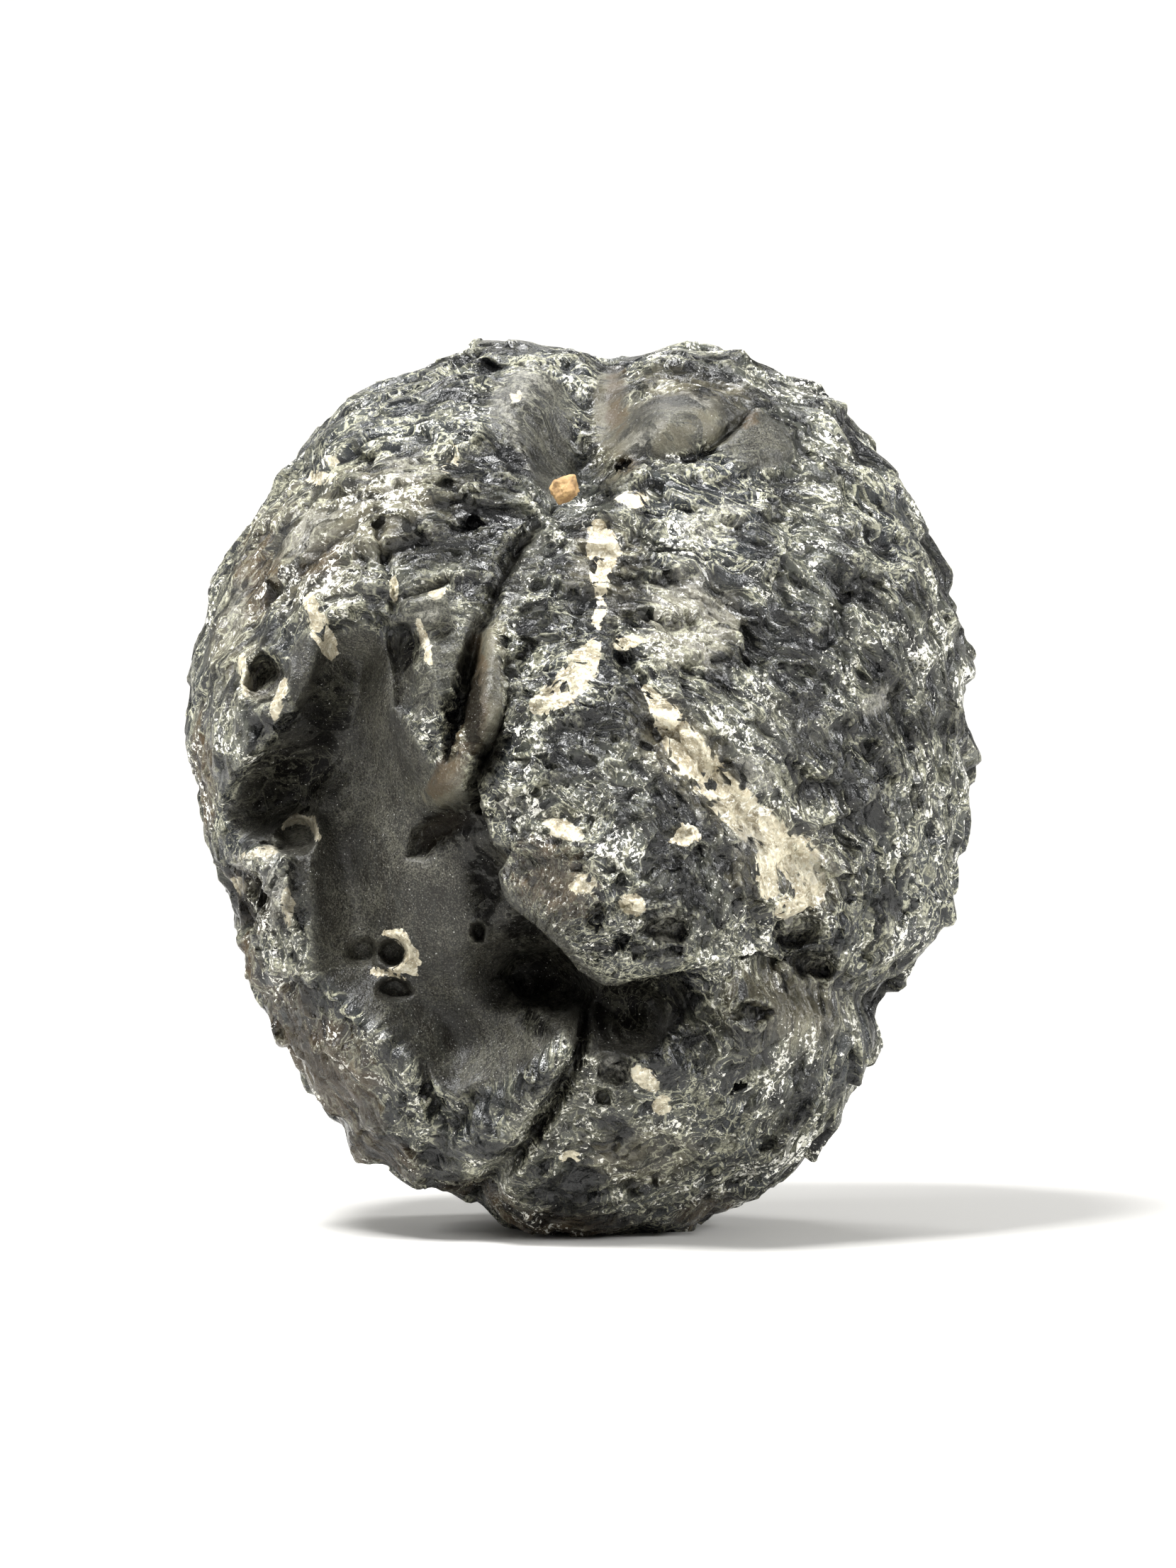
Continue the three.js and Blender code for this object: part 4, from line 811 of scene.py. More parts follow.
# Ellipses that a finish covers: x, z, radius, radius, turn in degrees.
finishPatches = {
    # shade: painted shade, near black, under the plate's edge, in slots, fissures and pits and in the
    # hollow's shadowed corners
    "shade": {
        "front": [
            (-1.7, 13.9, 2.8, 1.9, 0), (-2.6, 16.2, 1.6, 1.2, -40), (3.2, 13.2, 2.6, 1.0, 0),
            (-14.4, 23.6, 3.0, 2.0, 20), (-12.6, 26.4, 1.4, 2.6, -20), (-6.3, 21.4, 2.4, 1.1, 25),
            (-5.2, 27.4, 0.6, 3.2, 4), (-4.6, 24.2, 0.7, 2.4, -15),
            (1.8, 12.2, 2.0, 1.6, 0), (-4.6, 18.6, 1.0, 2.4, 0),
            (-8.3, 30.0, 0.7, 1.2, 0), (-16.6, 17.6, 1.2, 1.4, 0), (-2.2, 11.6, 1.0, 0.5, -20),
            (0.2, 11.0, 0.4, 3.0, -8), (-1.6, 7.0, 0.5, 3.0, -30), (-15.5, 28.8, 0.6, 0.8, 0),
        ],
        "back": [],
    },
    "cream": {
        "front": [
            (-12.9, 38.7, 0.8, 0.35, -15), (-12.2, 39.5, 0.5, 0.25, -20),
            (-6.3, 39.3, 0.4, 0.8, -20), (-3.2, 42.7, 0.3, 0.4, 0), (2.7, 37.4, 0.8, 0.45, 0),
            (3.2, 9.1, 0.8, 0.4, -40), (4.1, 7.7, 0.4, 0.5, 0),
            (-0.4, 5.0, 0.5, 0.3, 0), (0.2, 18.7, 0.6, 0.5, 0), (2.5, 17.7, 0.6, 0.5, 0),
            (-15.9, 20.0, 0.9, 0.3, 10),
            (-14.4, 17.4, 0.25, 0.9, 0), (-17.3, 18.2, 0.6, 0.5, 0), (-16.6, 28.9, 0.25, 1.0, 10),
            (-14.7, 27.6, 0.3, 0.9, -15), (-9.0, 32.9, 0.2, 0.6, 0), (-6.9, 32.7, 0.5, 0.2, 20),
            (2.2, 30.2, 0.8, 0.3, 10), (5.0, 21.0, 0.7, 0.5, 0), (-0.8, 21.3, 0.9, 0.4, -20),
        ],
        "back": [
            (-3.0, 24.0, 1.8, 0.6, -40), (-1.6, 21.8, 1.0, 1.6, 10), (8.6, 33.6, 1.6, 0.8, 20),
            (3.4, 8.2, 1.4, 0.7, -20), (-9.8, 15.2, 1.6, 0.8, 35), (11.8, 18.6, 0.9, 1.8, 10),
            (-5.6, 38.4, 0.9, 0.6, 0), (6.2, 25.8, 1.8, 0.4, 12),
        ],
    },
    "haze": {
        "front": [
            (-3.4, 41.4, 0.4, 2.6, 20), (-2.6, 43.4, 1.2, 1.2, 0), (5.4, 31.4, 2.2, 2.6, 0),
            (-13.2, 35.8, 1.6, 1.2, 20), (3.2, 40.6, 1.2, 0.6, 20), (5.8, 42.4, 1.0, 0.4, 10),
            (-17.2, 32.0, 0.5, 2.0, -12), (-8.6, 38.8, 1.4, 0.7, 10), (6.4, 36.2, 1.6, 0.8, 20),
            (8.6, 24.0, 1.4, 0.7, -40), (-14.8, 18.1, 0.9, 2.0, 0), (-7.3, 31.9, 0.8, 0.8, 20),
            (8.0, 20.6, 1.0, 0.8, -20), (11.6, 19.4, 1.2, 0.8, 0), (14.6, 27.6, 1.0, 0.6, 30),
            # the ellipses on pits are painted light that lifts the pits' dark floors
            (-3.4, 22.6, 0.7, 0.5, 0), (10.6, 16.2, 1.2, 0.9, 15), (11.7, 14.4, 1.1, 0.8, 0),
            (4.2, 16.6, 1.1, 0.7, 0), (1.6, 9.5, 0.9, 0.8, 0),
            (-15.9, 19.8, 1.5, 0.6, 10), (-15.6, 28.4, 0.9, 1.0, 0), (-14.0, 20.8, 0.8, 0.7, 0),
        ],
        "back": [(-7.0, 30.0, 6.0, 5.0, 0), (10.0, 27.0, 4.0, 5.0, 0), (0.0, 12.0, 6.0, 3.0, 0)],
    },
    "olive": {
        "front": [
            (4.4, 41.4, 4.0, 1.9, 14), (5.4, 43.2, 3.4, 1.2, -6), (1.7, 41.5, 1.2, 3.4, 0),
            (5.5, 31.2, 2.4, 2.6, 0), (-14.0, 35.2, 3.8, 3.4, 0),
            (-17.0, 31.5, 1.6, 4.0, -10), (-10.0, 37.0, 4.5, 2.5, 20), (10.0, 19.6, 3.2, 2.6, -30),
            (5.4, 24.6, 3.6, 1.8, -50), (-4.5, 28.0, 0.6, 3.2, 5), (10.4, 12.8, 3.4, 2.2, 0),
            (-6.2, 23.3, 1.5, 0.9, 25), (1.4, 33.8, 1.8, 2.6, 0), (3.0, 5.0, 3.0, 1.6, 0),
        ],
        "back": [
            (-4.0, 36.0, 4.0, 2.6, 20), (8.0, 13.0, 4.5, 2.4, -15), (-12.0, 26.0, 2.2, 4.0, 0),
            (5.0, 30.0, 3.0, 1.8, 0),
        ],
    },
    "brown": {
        "front": [
            (-16.8, 17.6, 1.8, 2.0, 0), (-13.4, 8.6, 3.6, 5.6, 28), (-11.0, 4.8, 3.2, 2.0, -30),
            (-17.4, 13.6, 1.6, 2.8, 10), (-5.0, 2.0, 2.2, 1.8, 0), (6.4, 1.6, 1.6, 1.4, 0),
            (-4.9, 28.2, 0.5, 3.0, 5), (-6.6, 21.3, 1.8, 0.8, 25), (-16.2, 34.0, 1.4, 2.4, 0),
            (-1.3, 18.8, 2.6, 2.0, -30), (-12.6, 34.4, 1.4, 1.0, 30), (1.9, 42.8, 0.6, 2.4, 0),
            (2.3, 39.3, 0.7, 0.6, 0), (8.4, 41.6, 0.8, 0.4, 40),
            (-15.6, 28.5, 0.9, 1.0, 0), (-2.0, 1.2, 5.0, 1.0, 0), (-19.0, 24.0, 0.8, 3.4, 0),
        ],
        "back": [
            (-14.0, 8.0, 3.0, 3.4, 20), (12.6, 8.0, 2.4, 3.4, -20), (1.0, 41.0, 1.0, 3.4, 0),
            (-5.0, 3.0, 2.2, 2.4, 0), (-0.8, 31.6, 0.7, 3.4, 0),
        ],
    },
}

# Bands that a finish covers on the front: x, z, half width.
finishBands = {
    "cream": [
        [(3.2, 28.0, 0.2), (4.2, 26.6, 0.6), (5.3, 24.9, 0.9), (6.6, 23.4, 0.8), (8.2, 21.7, 0.8),
         (9.8, 20.6, 0.8), (10.9, 19.6, 0.9), (11.2, 18.2, 0.7), (9.8, 17.2, 0.4)],
        [(9.4, 20.6, 0.4), (8.9, 19.4, 0.6), (9.2, 18.2, 0.4)],
        [(0.9, 36.0, 0.4), (1.2, 34.8, 0.7), (1.0, 33.4, 0.4), (1.1, 32.2, 0.4), (0.8, 31.0, 0.2)],
        [(0.8, 30.2, 0.3), (0.2, 29.2, 0.7), (-0.6, 28.0, 0.6), (-1.8, 27.3, 0.5)],
        [(-13.2, 32.4, 0.3), (-12.6, 31.0, 0.5), (-12.2, 29.8, 0.2)],
        [(-14.9, 21.2, 0.1), (-14.3, 21.7, 0.2), (-13.4, 21.6, 0.25), (-13.0, 20.8, 0.15)],
        [(-9.7, 16.1, 0.15), (-8.8, 15.9, 0.35), (-8.2, 15.1, 0.4), (-8.4, 14.3, 0.45),
         (-9.2, 14.0, 0.4), (-10.2, 14.1, 0.25)],
        [(-7.8, 31.4, 0.1), (-7.5, 30.4, 0.2), (-7.2, 29.2, 0.1)],
    ],
    "olive": [
        [(-4.1, 31.0, 0.5), (-4.2, 29.4, 0.8), (-4.4, 27.8, 0.9), (-4.9, 26.0, 0.9), (-5.5, 24.4, 0.8),
         (-6.4, 23.3, 0.9)],
    ],
    "brown": [
        [(-4.7, 29.4, 0.3), (-4.9, 27.4, 0.6), (-5.4, 25.6, 0.8), (-6.2, 24.0, 0.8), (-7.0, 23.2, 0.5)],
    ],
}


# A mask is patchHeight in the middle of a patch or band, 1 less on its rim and 0 well outside.
# It stays faceMargin away from the edge between front and back.
patchHeight, faceMargin = 1.6, 2.0


def patchMask(points, patches, bands):
    mask = np.zeros(len(points))
    onFront = np.where(points[:, 1] < -faceMargin)[0]
    for band in bands:
        k = onFront[near(points[onFront, 0], points[onFront, 2], band, obsidian["bandMargin"])]
        distance, run, _, _, _ = nearestOnPath(points[k, 0], points[k, 2], band)
        mask[k] = np.maximum(mask[k], np.clip(patchHeight - distance / alongPath(run, band, 2), 0, None))
    for face, shapes in patches.items():
        onFace = onFront if face == "front" else np.where(points[:, 1] > faceMargin)[0]
        x, z = points[onFace, 0], points[onFace, 2]
        for shape in shapes:
            k = near(x, z, [shape], obsidian["patchMargin"] * max(shape[2], shape[3]))
            value = np.clip(patchHeight - scaledRadius(x[k], z[k], shape), 0, None)
            mask[onFace[k]] = np.maximum(mask[onFace[k]], value)
    return mask


# How far each corner stands out, in mm, from the surface after some rounds of smoothing.
def reliefMasks(mesh, rounds):
    points = readPoints(mesh) / metresPerMm
    edges = np.zeros(len(mesh.edges) * 2, np.int32)
    mesh.edges.foreach_get("vertices", edges)
    a, b = edges.reshape(-1, 2).T
    count = len(points)
    number = np.bincount(a, minlength=count) + np.bincount(b, minlength=count)
    normals = np.zeros(count * 3, np.float32)
    mesh.vertex_normals.foreach_get("vector", normals)
    normals = normals.reshape(-1, 3)
    smoothed, masks = points, []
    for step in range(1, max(rounds) + 1):
        sums = [np.bincount(a, column[b], count) + np.bincount(b, column[a], count) for column in smoothed.T]
        smoothed = np.stack(sums, axis=1) / number[:, None]
        if step in rounds:
            masks.append(((points - smoothed) * normals).sum(axis=1))
    return masks


def paintNodule(mesh):
    points = readPoints(mesh) / metresPerMm + (nodule["middle"][0], nodule["middle"][1], nodule["footCut"])
    for name, patches in finishPatches.items():
        writeMask(mesh, name, patchMask(points, patches, finishBands.get(name, [])))
    crest, rise = reliefMasks(mesh, obsidian["smoothingRounds"])
    writeMask(mesh, "crest", crest)
    writeMask(mesh, "rise", rise)
    # the smooth hollow and the other calm patches
    calm = np.zeros(len(points))
    front, back = np.where(points[:, 1] < -faceMargin)[0], np.where(points[:, 1] > faceMargin)[0]
    x, z = points[front, 0], points[front, 2]
    plate, inHollow = plateAndHollow(x, z)[6:]
    hollow = smoothStep(*obsidian["hollowFinish"], inHollow) * (1 - plate)
    calm[front] = np.maximum(hollow, calmPatch(x, z, calmPatches["front"]))
    calm[back] = calmPatch(points[back, 0], points[back, 2], calmPatches["back"])
    writeMask(mesh, "calm", calm)
    # slow changes of tone, a mottle of three sizes, and the bent ring coordinates
    writeMask(mesh, "tone", 0.5 + 0.5 * lumps(points, obsidian["toneSize"], 31))
    mottle = np.zeros(len(points))
    for grade in range(3):
        size, weight = obsidian["mottleSize"] * 0.5**grade, obsidian["mottleFade"] ** grade
        mottle += lumps(points, size, 41 + grade) * weight
    writeMask(mesh, "mottle", 0.5 + obsidian["mottleStrength"] * mottle)
    bend = np.zeros((len(points), 3))
    for size, weight, seeds in obsidian["bends"]:
        bend += weight * np.stack([lumps(points, size, seed) for seed in seeds], axis=1)
    writeVector(mesh, "flow", swirlPlace(points) + obsidian["bend"] * bend)


# Object coordinates in millimetres.
def mmCoordinates(tree):
    inputs = {0: addNode(tree, "ShaderNodeTexCoord").outputs["Object"], "Scale": 1 / metresPerMm}
    return addNode(tree, "ShaderNodeVectorMath", inputs, operation="SCALE").outputs[0]


# A noise node's inputs, from its size in mm.
def noiseInputs(place, size, detail=3.0, roughness=0.55, distortion=0.0):
    return {
        "Vector": place, "Scale": 1 / size, "Detail": detail, "Roughness": roughness,
        "Distortion": distortion,
    }


# Lays colours over each other, each one through its mask.
def layered(tree, colour, layers):
    for mask, over in layers:
        inputs = {"Factor": mask, 6: colour, 7: over}
        colour = addNode(tree, "ShaderNodeMix", inputs, data_type="RGBA").outputs[2]
    return colour


# Obsidian is volcanic glass: near black where it is whole, glossy on every fresh chip, and grey
# where the surface is crazed by fine fractures or where weathering has frosted it. On top of that its
# finish paints shade into dips and recesses, highlights on crests and rims, glints, and light into some pits.
obsidian = {
    "ior": 1.5,
    "colours": {
        # the darkest colour is painted shade, the near white one painted glints, the silver frost with
        # painted highlights, and the haze also painted light in pits
        "deep": "#080706", "black": "#0e0f10", "grey": "#4a4c45", "blueGrey": "#2b2f32",
        "silver": "#aaa994", "spark": "#f7f5eb", "dust": "#a9a9a4",
        "olive": "#656050", "brown": "#4a3d2b", "haze": "#8d8b82",
        "creamShade": "#a99e84", "cream": "#d3cab0", "paleCream": "#ece7d6",
        "hollowDark": "#1c1a16", "hollowPale": "#282824", "hollowGrit": "#5f5d54",
    },
    # the reach of a band in mm, and of a patch in its own radii
    "bandMargin": 2.0, "patchMargin": 1.8,
    "smoothingRounds": (6, 50), "hollowFinish": (-0.5, 0.9),
    "toneSize": 6.0, "mottleSize": 2.2, "mottleFade": 0.62, "mottleStrength": 0.36,
    # bends of the rings: size, weight and seeds, then their reach in mm
    "bends": ((2.4, 1.0, (51, 52, 53)), (0.96, 0.5, (54, 55, 56))), "bend": 0.9,
    # noises: size in mm, detail, roughness and distortion. Real frost, grit and dust are finer
    # than this, and are drawn as coarse as they need to be to show
    "noises": {
        "grain": (0.24, 3.0, 0.65), "fibres": (0.2, 3.0, 0.68, 0.5), "grit": (0.09, 2.0, 0.6),
        "dust": (0.11, 1.0), "waves": (0.7, 3.5, 0.58, 0.25), "troughs": (0.85, 2.0, 0.5),
        "streaks": (0.5, 4.0, 0.7, 0.5),
    },
    # waves and troughs are longer along the rings, and streaks upwards
    "stretches": {"waves": (0.75, 0.75, 1), "troughs": (0.38, 0.38, 1), "streaks": (1, 1, 0.3)},
    # shards: size and how far they lean
    "shards": {"large": (1.15, 0.6), "small": (0.45, 0.85)},
    "waveHeight": 0.15, "fineHeight": 0.06, "fineStrength": 0.9,
    "calmRoughness": 0.42, "creamRoughness": 0.4,
    # patches: where a mask starts and is full, and how ragged its edge is
    "patches": {
        "olive": (0.3, 1.1, 0.5), "brown": (0.4, 1.1, 0.5), "cream": (0.45, 0.6, 0.8),
        "haze": (0.3, 1.2, 0.7), "shade": (0.2, 1.2, 0.5),
    },
}
# Masks of the glass, from its noises and shards.
glassRows = [
    ("calm", "MULTIPLY_ADD", "mottle", 0.5, "calm"),
    ("calm", "RANGE", "calm", 0.5, 1.25),
    ("rough", "SUBTRACT", 1.0, "calm"),
    # folds are the lines halfway up the waves, and rims those around the large shards, where a highlight is
    # painted
    ("fold", "MULTIPLY_ADD", "waves", 2.0, -1.0),
    ("fold", "ABSOLUTE", "fold"),
    ("fold", "SUBTRACT", 1.0, "fold"),
    ("rims", "RANGE", "border", 0.0135, 0.045, 1.0, 0.0),
    # the near black glass turns grey here and there, and bluer
    ("tones", "MIX", 0.5, "mottle", "waves"),
    ("grey", "RANGE", "tones", 0.42, 0.62),
    ("blue", "RANGE", "tone", 0.5, 0.68, 0.0, 0.6),
    # a patch ends on whole shards and on the mottle
    ("uneven", "ADD", "smallBlue", "largeBlue"),
    ("uneven", "ADD", "mottle", "uneven"),
    ("uneven", "SUBTRACT", "uneven", 1.5),
]
# Stains, cream and haze, which thin out between the waves and fibres. The haze also paints light into the
# floors of some pits.
stainRows = [
    ("cloud", "MIX", "calm", "tones", "mottle"),
    ("cloud", "RANGE", "cloud", 0.3, 0.6, 0.3, 0.85),
    ("oliveStain", "MULTIPLY", "olive", "cloud"),
    ("brownTones", "RANGE", "tones", 0.3, 0.6, 0.4, 0.9),
    ("brown", "MULTIPLY", "brown", "brownTones"),
    ("creamFibres", "RANGE", "fibres", 0.28, 0.48, 0.5, 1.0),
    ("cream", "MULTIPLY", "cream", "creamFibres"),
    ("creamWaves", "RANGE", "waves", 0.4, 0.6),
    ("paleCream", "RANGE", "fibres", 0.5, 0.66),
    ("hazeFibres", "RANGE", "fibres", 0.3, 0.65, 0.15, 0.85),
    ("haze", "MULTIPLY", "haze", "hazeFibres"),
    ("cover", "MAXIMUM", "cream", "haze"),
    ("creamThin", "RANGE", "cream", 0.0, 1.0, 1.0, 0.4),
]
# Painted shade: dips between the chips, creases below crests and the troughs of the waves are painted dark on
# rough glass, and the shade patches are painted near black.
dipShadeRows = [
    ("low", "RANGE", "rise", -0.6, 0.05, 0.75, 0.0),
    ("notTooLow", "RANGE", "rise", -1.3, -0.6, 0.15, 1.0),
    ("low", "MULTIPLY", "low", "notTooLow"),
    ("belowCrests", "RANGE", "crest", -0.2, 0.02, 0.8, 0.0),
    ("low", "MAXIMUM", "low", "belowCrests"),
    ("waveDips", "RANGE", "waves", 0.3, 0.42, 0.7, 0.0),
    ("dips", "MAXIMUM", "low", "waveDips"),
    ("troughDips", "RANGE", "troughs", 0.34, 0.46, 0.85, 0.0),
    ("dips", "MAXIMUM", "dips", "troughDips"),
    ("bare", "RANGE", "cover", 0.0, 1.0, 1.0, 0.2),
    ("bare", "MULTIPLY", "rough", "bare"),
    ("dips", "MULTIPLY", "dips", "bare"),
    ("deepest", "MULTIPLY", "shade", 0.9),
]
# The hollow's look covers calm glass, and less of it where that is stained, creamy, hazy or lit by painted
# light in a pit.
hollowRows = [
    ("streaks", "RANGE", "streaks", 0.38, 0.66),
    ("gritMottle", "MULTIPLY_ADD", "mottle", 0.4, 0.8),
    ("grit", "MULTIPLY", "grit", "gritMottle"),
    ("grit", "RANGE", "grit", 0.44, 0.72, 0.0, 0.75),
    ("tinted", "MAXIMUM", "brown", "olive"),
    ("tinted", "MAXIMUM", "tinted", "cover"),
    ("tinted", "RANGE", "tinted", 0.0, 1.0, 1.0, 0.2),
    ("hollow", "MULTIPLY", "calm", "tinted"),
    ("dust", "RANGE", "dust", 0.7, 0.8),
    ("dust", "MULTIPLY", "dust", "calm"),
]
# Silver is partly frost and partly painted highlight: frosted shards, fine feathered lines along folds,
# painted highlight lines along the rims, and crests that are partly worn and partly painted highlight.
frostAndHighlightRows = [
    ("frost", "ADD", "largeGreen", "smallGreen"),
    ("frost", "RANGE", "frost", 1.15, 1.8),
    ("frostFibres", "RANGE", "fibres", 0.35, 0.62, 0.15, 0.8),
    ("frost", "MULTIPLY", "frost", "frostFibres"),
    ("wisps", "RANGE", "fold", 0.95, 0.99),
    ("wisps", "MAXIMUM", "wisps", "rims"),
    ("wispFibres", "RANGE", "fibres", 0.38, 0.5),
    ("wisps", "MULTIPLY", "wisps", "wispFibres"),
    ("silver", "MAXIMUM", "frost", "wisps"),
    ("bright", "MIX", 0.6, "tone", "mottle"),
    ("bright", "RANGE", "bright", 0.38, 0.58, 0.1, 1.0),
    ("bright", "MULTIPLY", "bright", "creamThin"),
    ("silver", "MULTIPLY", "silver", "bright"),
    ("crests", "RANGE", "crest", 0.05, 0.35, 0.0, 0.6),
    ("crestFibres", "RANGE", "fibres", 0.4, 0.6),
    ("silver", "MULTIPLY_ADD", "crests", "crestFibres", "silver"),
    ("onRough", "RANGE", "rough", 0.0, 1.0, 0.1, 1.0),
    ("silver", "MULTIPLY", "silver", "onRough"),
    ("offDips", "RANGE", "dips", 0.1, 0.8, 1.0, 0.1),
    ("silver", "MULTIPLY", "silver", "offDips"),
    ("offBrown", "RANGE", "brown", 0.0, 0.9, 1.0, 0.3),
    ("silver", "MULTIPLY", "silver", "offBrown"),
    # sparks are painted glints: small ragged white specks in clusters, only on high and rough glass
    ("sparks", "MIX", 0.7, "mottle", "fibres"),
    ("sparks", "RANGE", "sparks", 0.58, 0.618),
    ("sparkShards", "RANGE", "smallRed", 0.35, 0.5),
    ("sparks", "MULTIPLY", "sparks", "sparkShards"),
    ("sparkRough", "RANGE", "rough", 0.2, 0.8),
    ("sparks", "MULTIPLY", "sparks", "sparkRough"),
    ("offLow", "RANGE", "low", 0.1, 0.5, 1.0, 0.0),
    ("sparks", "MULTIPLY", "sparks", "offLow"),
]
# Gloss and relief: calm glass is flatter and duller, and the shine is taken out where shade is painted.
surfaceRows = [
    ("gloss", "RANGE", "grain", 0.35, 0.65, 0.12, 0.36),
    ("gloss", "MIX", "calm", "gloss", obsidian["calmRoughness"]),
    ("gloss", "MIX", "cream", "gloss", obsidian["creamRoughness"]),
    ("dull", "MULTIPLY", "calm", 0.45),
    ("dull", "MAXIMUM", "dull", "shade"),
    ("specular", "RANGE", "dull", 0.0, 1.0, 0.5, 0.08),
    ("relief", "MULTIPLY_ADD", "fold", 0.35, "waves"),
    ("relief", "MULTIPLY_ADD", "troughs", 0.8, "relief"),
    ("reliefStrength", "RANGE", "rough", 0.0, 1.0, 0.12, 1.0),
    ("fine", "ADD", "grain", "fibres"),
    ("turn", "MULTIPLY", "reliefStrength", "creamThin"),
]


# The noises, shards and masks of the skin by name, and the direction in which its shards lean.
def skinValues(tree):
    values = {}
    for name in ("tone", "mottle", "crest", "rise", "calm"):
        values[name] = addNode(tree, "ShaderNodeAttribute", attribute_name=name).outputs["Fac"]
    place = mmCoordinates(tree)
    flow = addNode(tree, "ShaderNodeAttribute", attribute_name="flow").outputs["Vector"]
    for name, settings in obsidian["noises"].items():
        start = flow if name in ("waves", "troughs") else place
        if name in obsidian["stretches"]:
            inputs = {0: start, 1: obsidian["stretches"][name]}
            start = addNode(tree, "ShaderNodeVectorMath", inputs, operation="MULTIPLY").outputs[0]
        values[name] = addNode(tree, "ShaderNodeTexNoise", noiseInputs(start, *settings)).outputs["Fac"]
    leans = []
    for name, (size, amount) in obsidian["shards"].items():
        inputs = {"Vector": flow, "Scale": 1 / size}
        cells = addNode(tree, "ShaderNodeTexVoronoi", inputs).outputs["Color"]
        for part in addNode(tree, "ShaderNodeSeparateColor", {0: cells}).outputs:
            values[name + part.name] = part
        inputs = {0: cells, 1: (0.5, 0.5, 0.5)}
        turned = addNode(tree, "ShaderNodeVectorMath", inputs, operation="SUBTRACT").outputs[0]
        inputs = {0: turned, "Scale": amount}
        leans.append(addNode(tree, "ShaderNodeVectorMath", inputs, operation="SCALE").outputs[0])
    lean = addNode(tree, "ShaderNodeVectorMath", dict(enumerate(leans)), operation="ADD").outputs[0]
    inputs = {"Vector": flow, "Scale": 1 / obsidian["shards"]["large"][0]}
    border = addNode(tree, "ShaderNodeTexVoronoi", inputs, feature="DISTANCE_TO_EDGE")
    values["border"] = border.outputs["Distance"]
    addRows(tree, values, glassRows)
    for name, (start, full, raggedness) in obsidian["patches"].items():
        values["mask"] = addNode(tree, "ShaderNodeAttribute", attribute_name=name).outputs["Fac"]
        addRows(tree, values, [
            ("ragged", "MULTIPLY_ADD", "uneven", raggedness, 1.0),
            ("ragged", "MULTIPLY", "mask", "ragged"),
            (name, "RANGE", "ragged", start, full),
        ])
    addRows(tree, values, stainRows + dipShadeRows + hollowRows + frostAndHighlightRows + surfaceRows)
    return values, lean


# Waves with their folds and troughs, then fine grain, then the lean of each shard.
def skinNormal(tree, values, lean):
    wavy = addNode(tree, "ShaderNodeBump", {
        "Height": values["relief"], "Strength": values["reliefStrength"],
        "Distance": obsidian["waveHeight"] * metresPerMm,
    }).outputs[0]
    fine = addNode(tree, "ShaderNodeBump", {
        "Height": values["fine"], "Normal": wavy, "Strength": obsidian["fineStrength"],
        "Distance": obsidian["fineHeight"] * metresPerMm,
    }).outputs[0]
    turned = addNode(tree, "ShaderNodeVectorMath", {0: lean, "Scale": values["turn"]}, operation="SCALE")
    facing = addNode(tree, "ShaderNodeVectorMath", {0: fine, 1: turned.outputs[0]}, operation="ADD")
    return addNode(tree, "ShaderNodeVectorMath", {0: facing.outputs[0]}, operation="NORMALIZE").outputs[0]


def obsidianMaterial():
    material, tree, shader = newMaterial("obsidian, chipped and frosted")
    values, lean = skinValues(tree)
    paint = {name: linearColour(code) for name, code in obsidian["colours"].items()}
    crust = layered(tree, paint["creamShade"], [
        (values["creamWaves"], paint["cream"]), (values["paleCream"], paint["paleCream"]),
    ])
    hollow = layered(tree, paint["hollowDark"], [
        (values["streaks"], paint["hollowPale"]), (values["grit"], paint["hollowGrit"]),
        # painted shade, near black
        (values["shade"], paint["deep"]),
    ])
    colour = layered(tree, paint["black"], [
        (values["grey"], paint["grey"]), (values["blue"], paint["blueGrey"]),
        (values["oliveStain"], paint["olive"]), (values["brown"], paint["brown"]),
        # cream, then haze that also paints light into pits
        (values["cream"], crust), (values["haze"], paint["haze"]),
        # painted shade: black in the dips, near black in the shade patches
        (values["dips"], paint["black"]), (values["deepest"], paint["deep"]),
        (values["hollow"], hollow), (values["dust"], paint["dust"]),
        # frost with painted highlights, then painted glints
        (values["silver"], paint["silver"]), (values["sparks"], paint["spark"]),
    ])
    tree.links.new(colour, shader.inputs["Base Color"])
    tree.links.new(values["gloss"], shader.inputs["Roughness"])
    shader.inputs["IOR"].default_value = obsidian["ior"]
    tree.links.new(values["specular"], shader.inputs["Specular IOR Level"])
    tree.links.new(skinNormal(tree, values, lean), shader.inputs["Normal"])
    return material


# Sandstone: a broken tan grain, dull, with paler and darker crystals.
sandstone = {
    "tan": "#876a47", "pale": "#b09062", "dark": "#563f28", "roughness": 0.7,
    # noises: size in mm, detail and roughness
    "tone": (0.66, 3.0), "grain": (0.22, 4.0, 0.7),
    # where the pale and dark crystals start and are full, then the dark ones' values there
    "palePlaces": (0.35, 0.65), "darkPlaces": (0.55, 0.75, 0.0, 0.7),
    "bumpStrength": 0.5, "bumpHeight": 0.05,
    "ballLevel": 5, "ballReach": 1.35, "leastFacing": 1e-3,
    "unevenness": 0.13, "lumpSizes": (0.5, 0.17),
    # faces of the broken grain: the way each looks and how far out it lies
    "planes": (
        ((0.25, -1, 0.35), 0.62), ((-0.7, -1, -0.2), 0.72), ((-1, -0.2, 0.5), 0.85), ((1, -0.3, 0.25), 0.9),
        ((-0.25, -0.2, 1), 0.7), ((0.35, -0.5, -1), 0.72), ((-0.9, 0.1, -0.6), 1.0), ((0.2, 1, 0.1), 0.9),
    ),
}


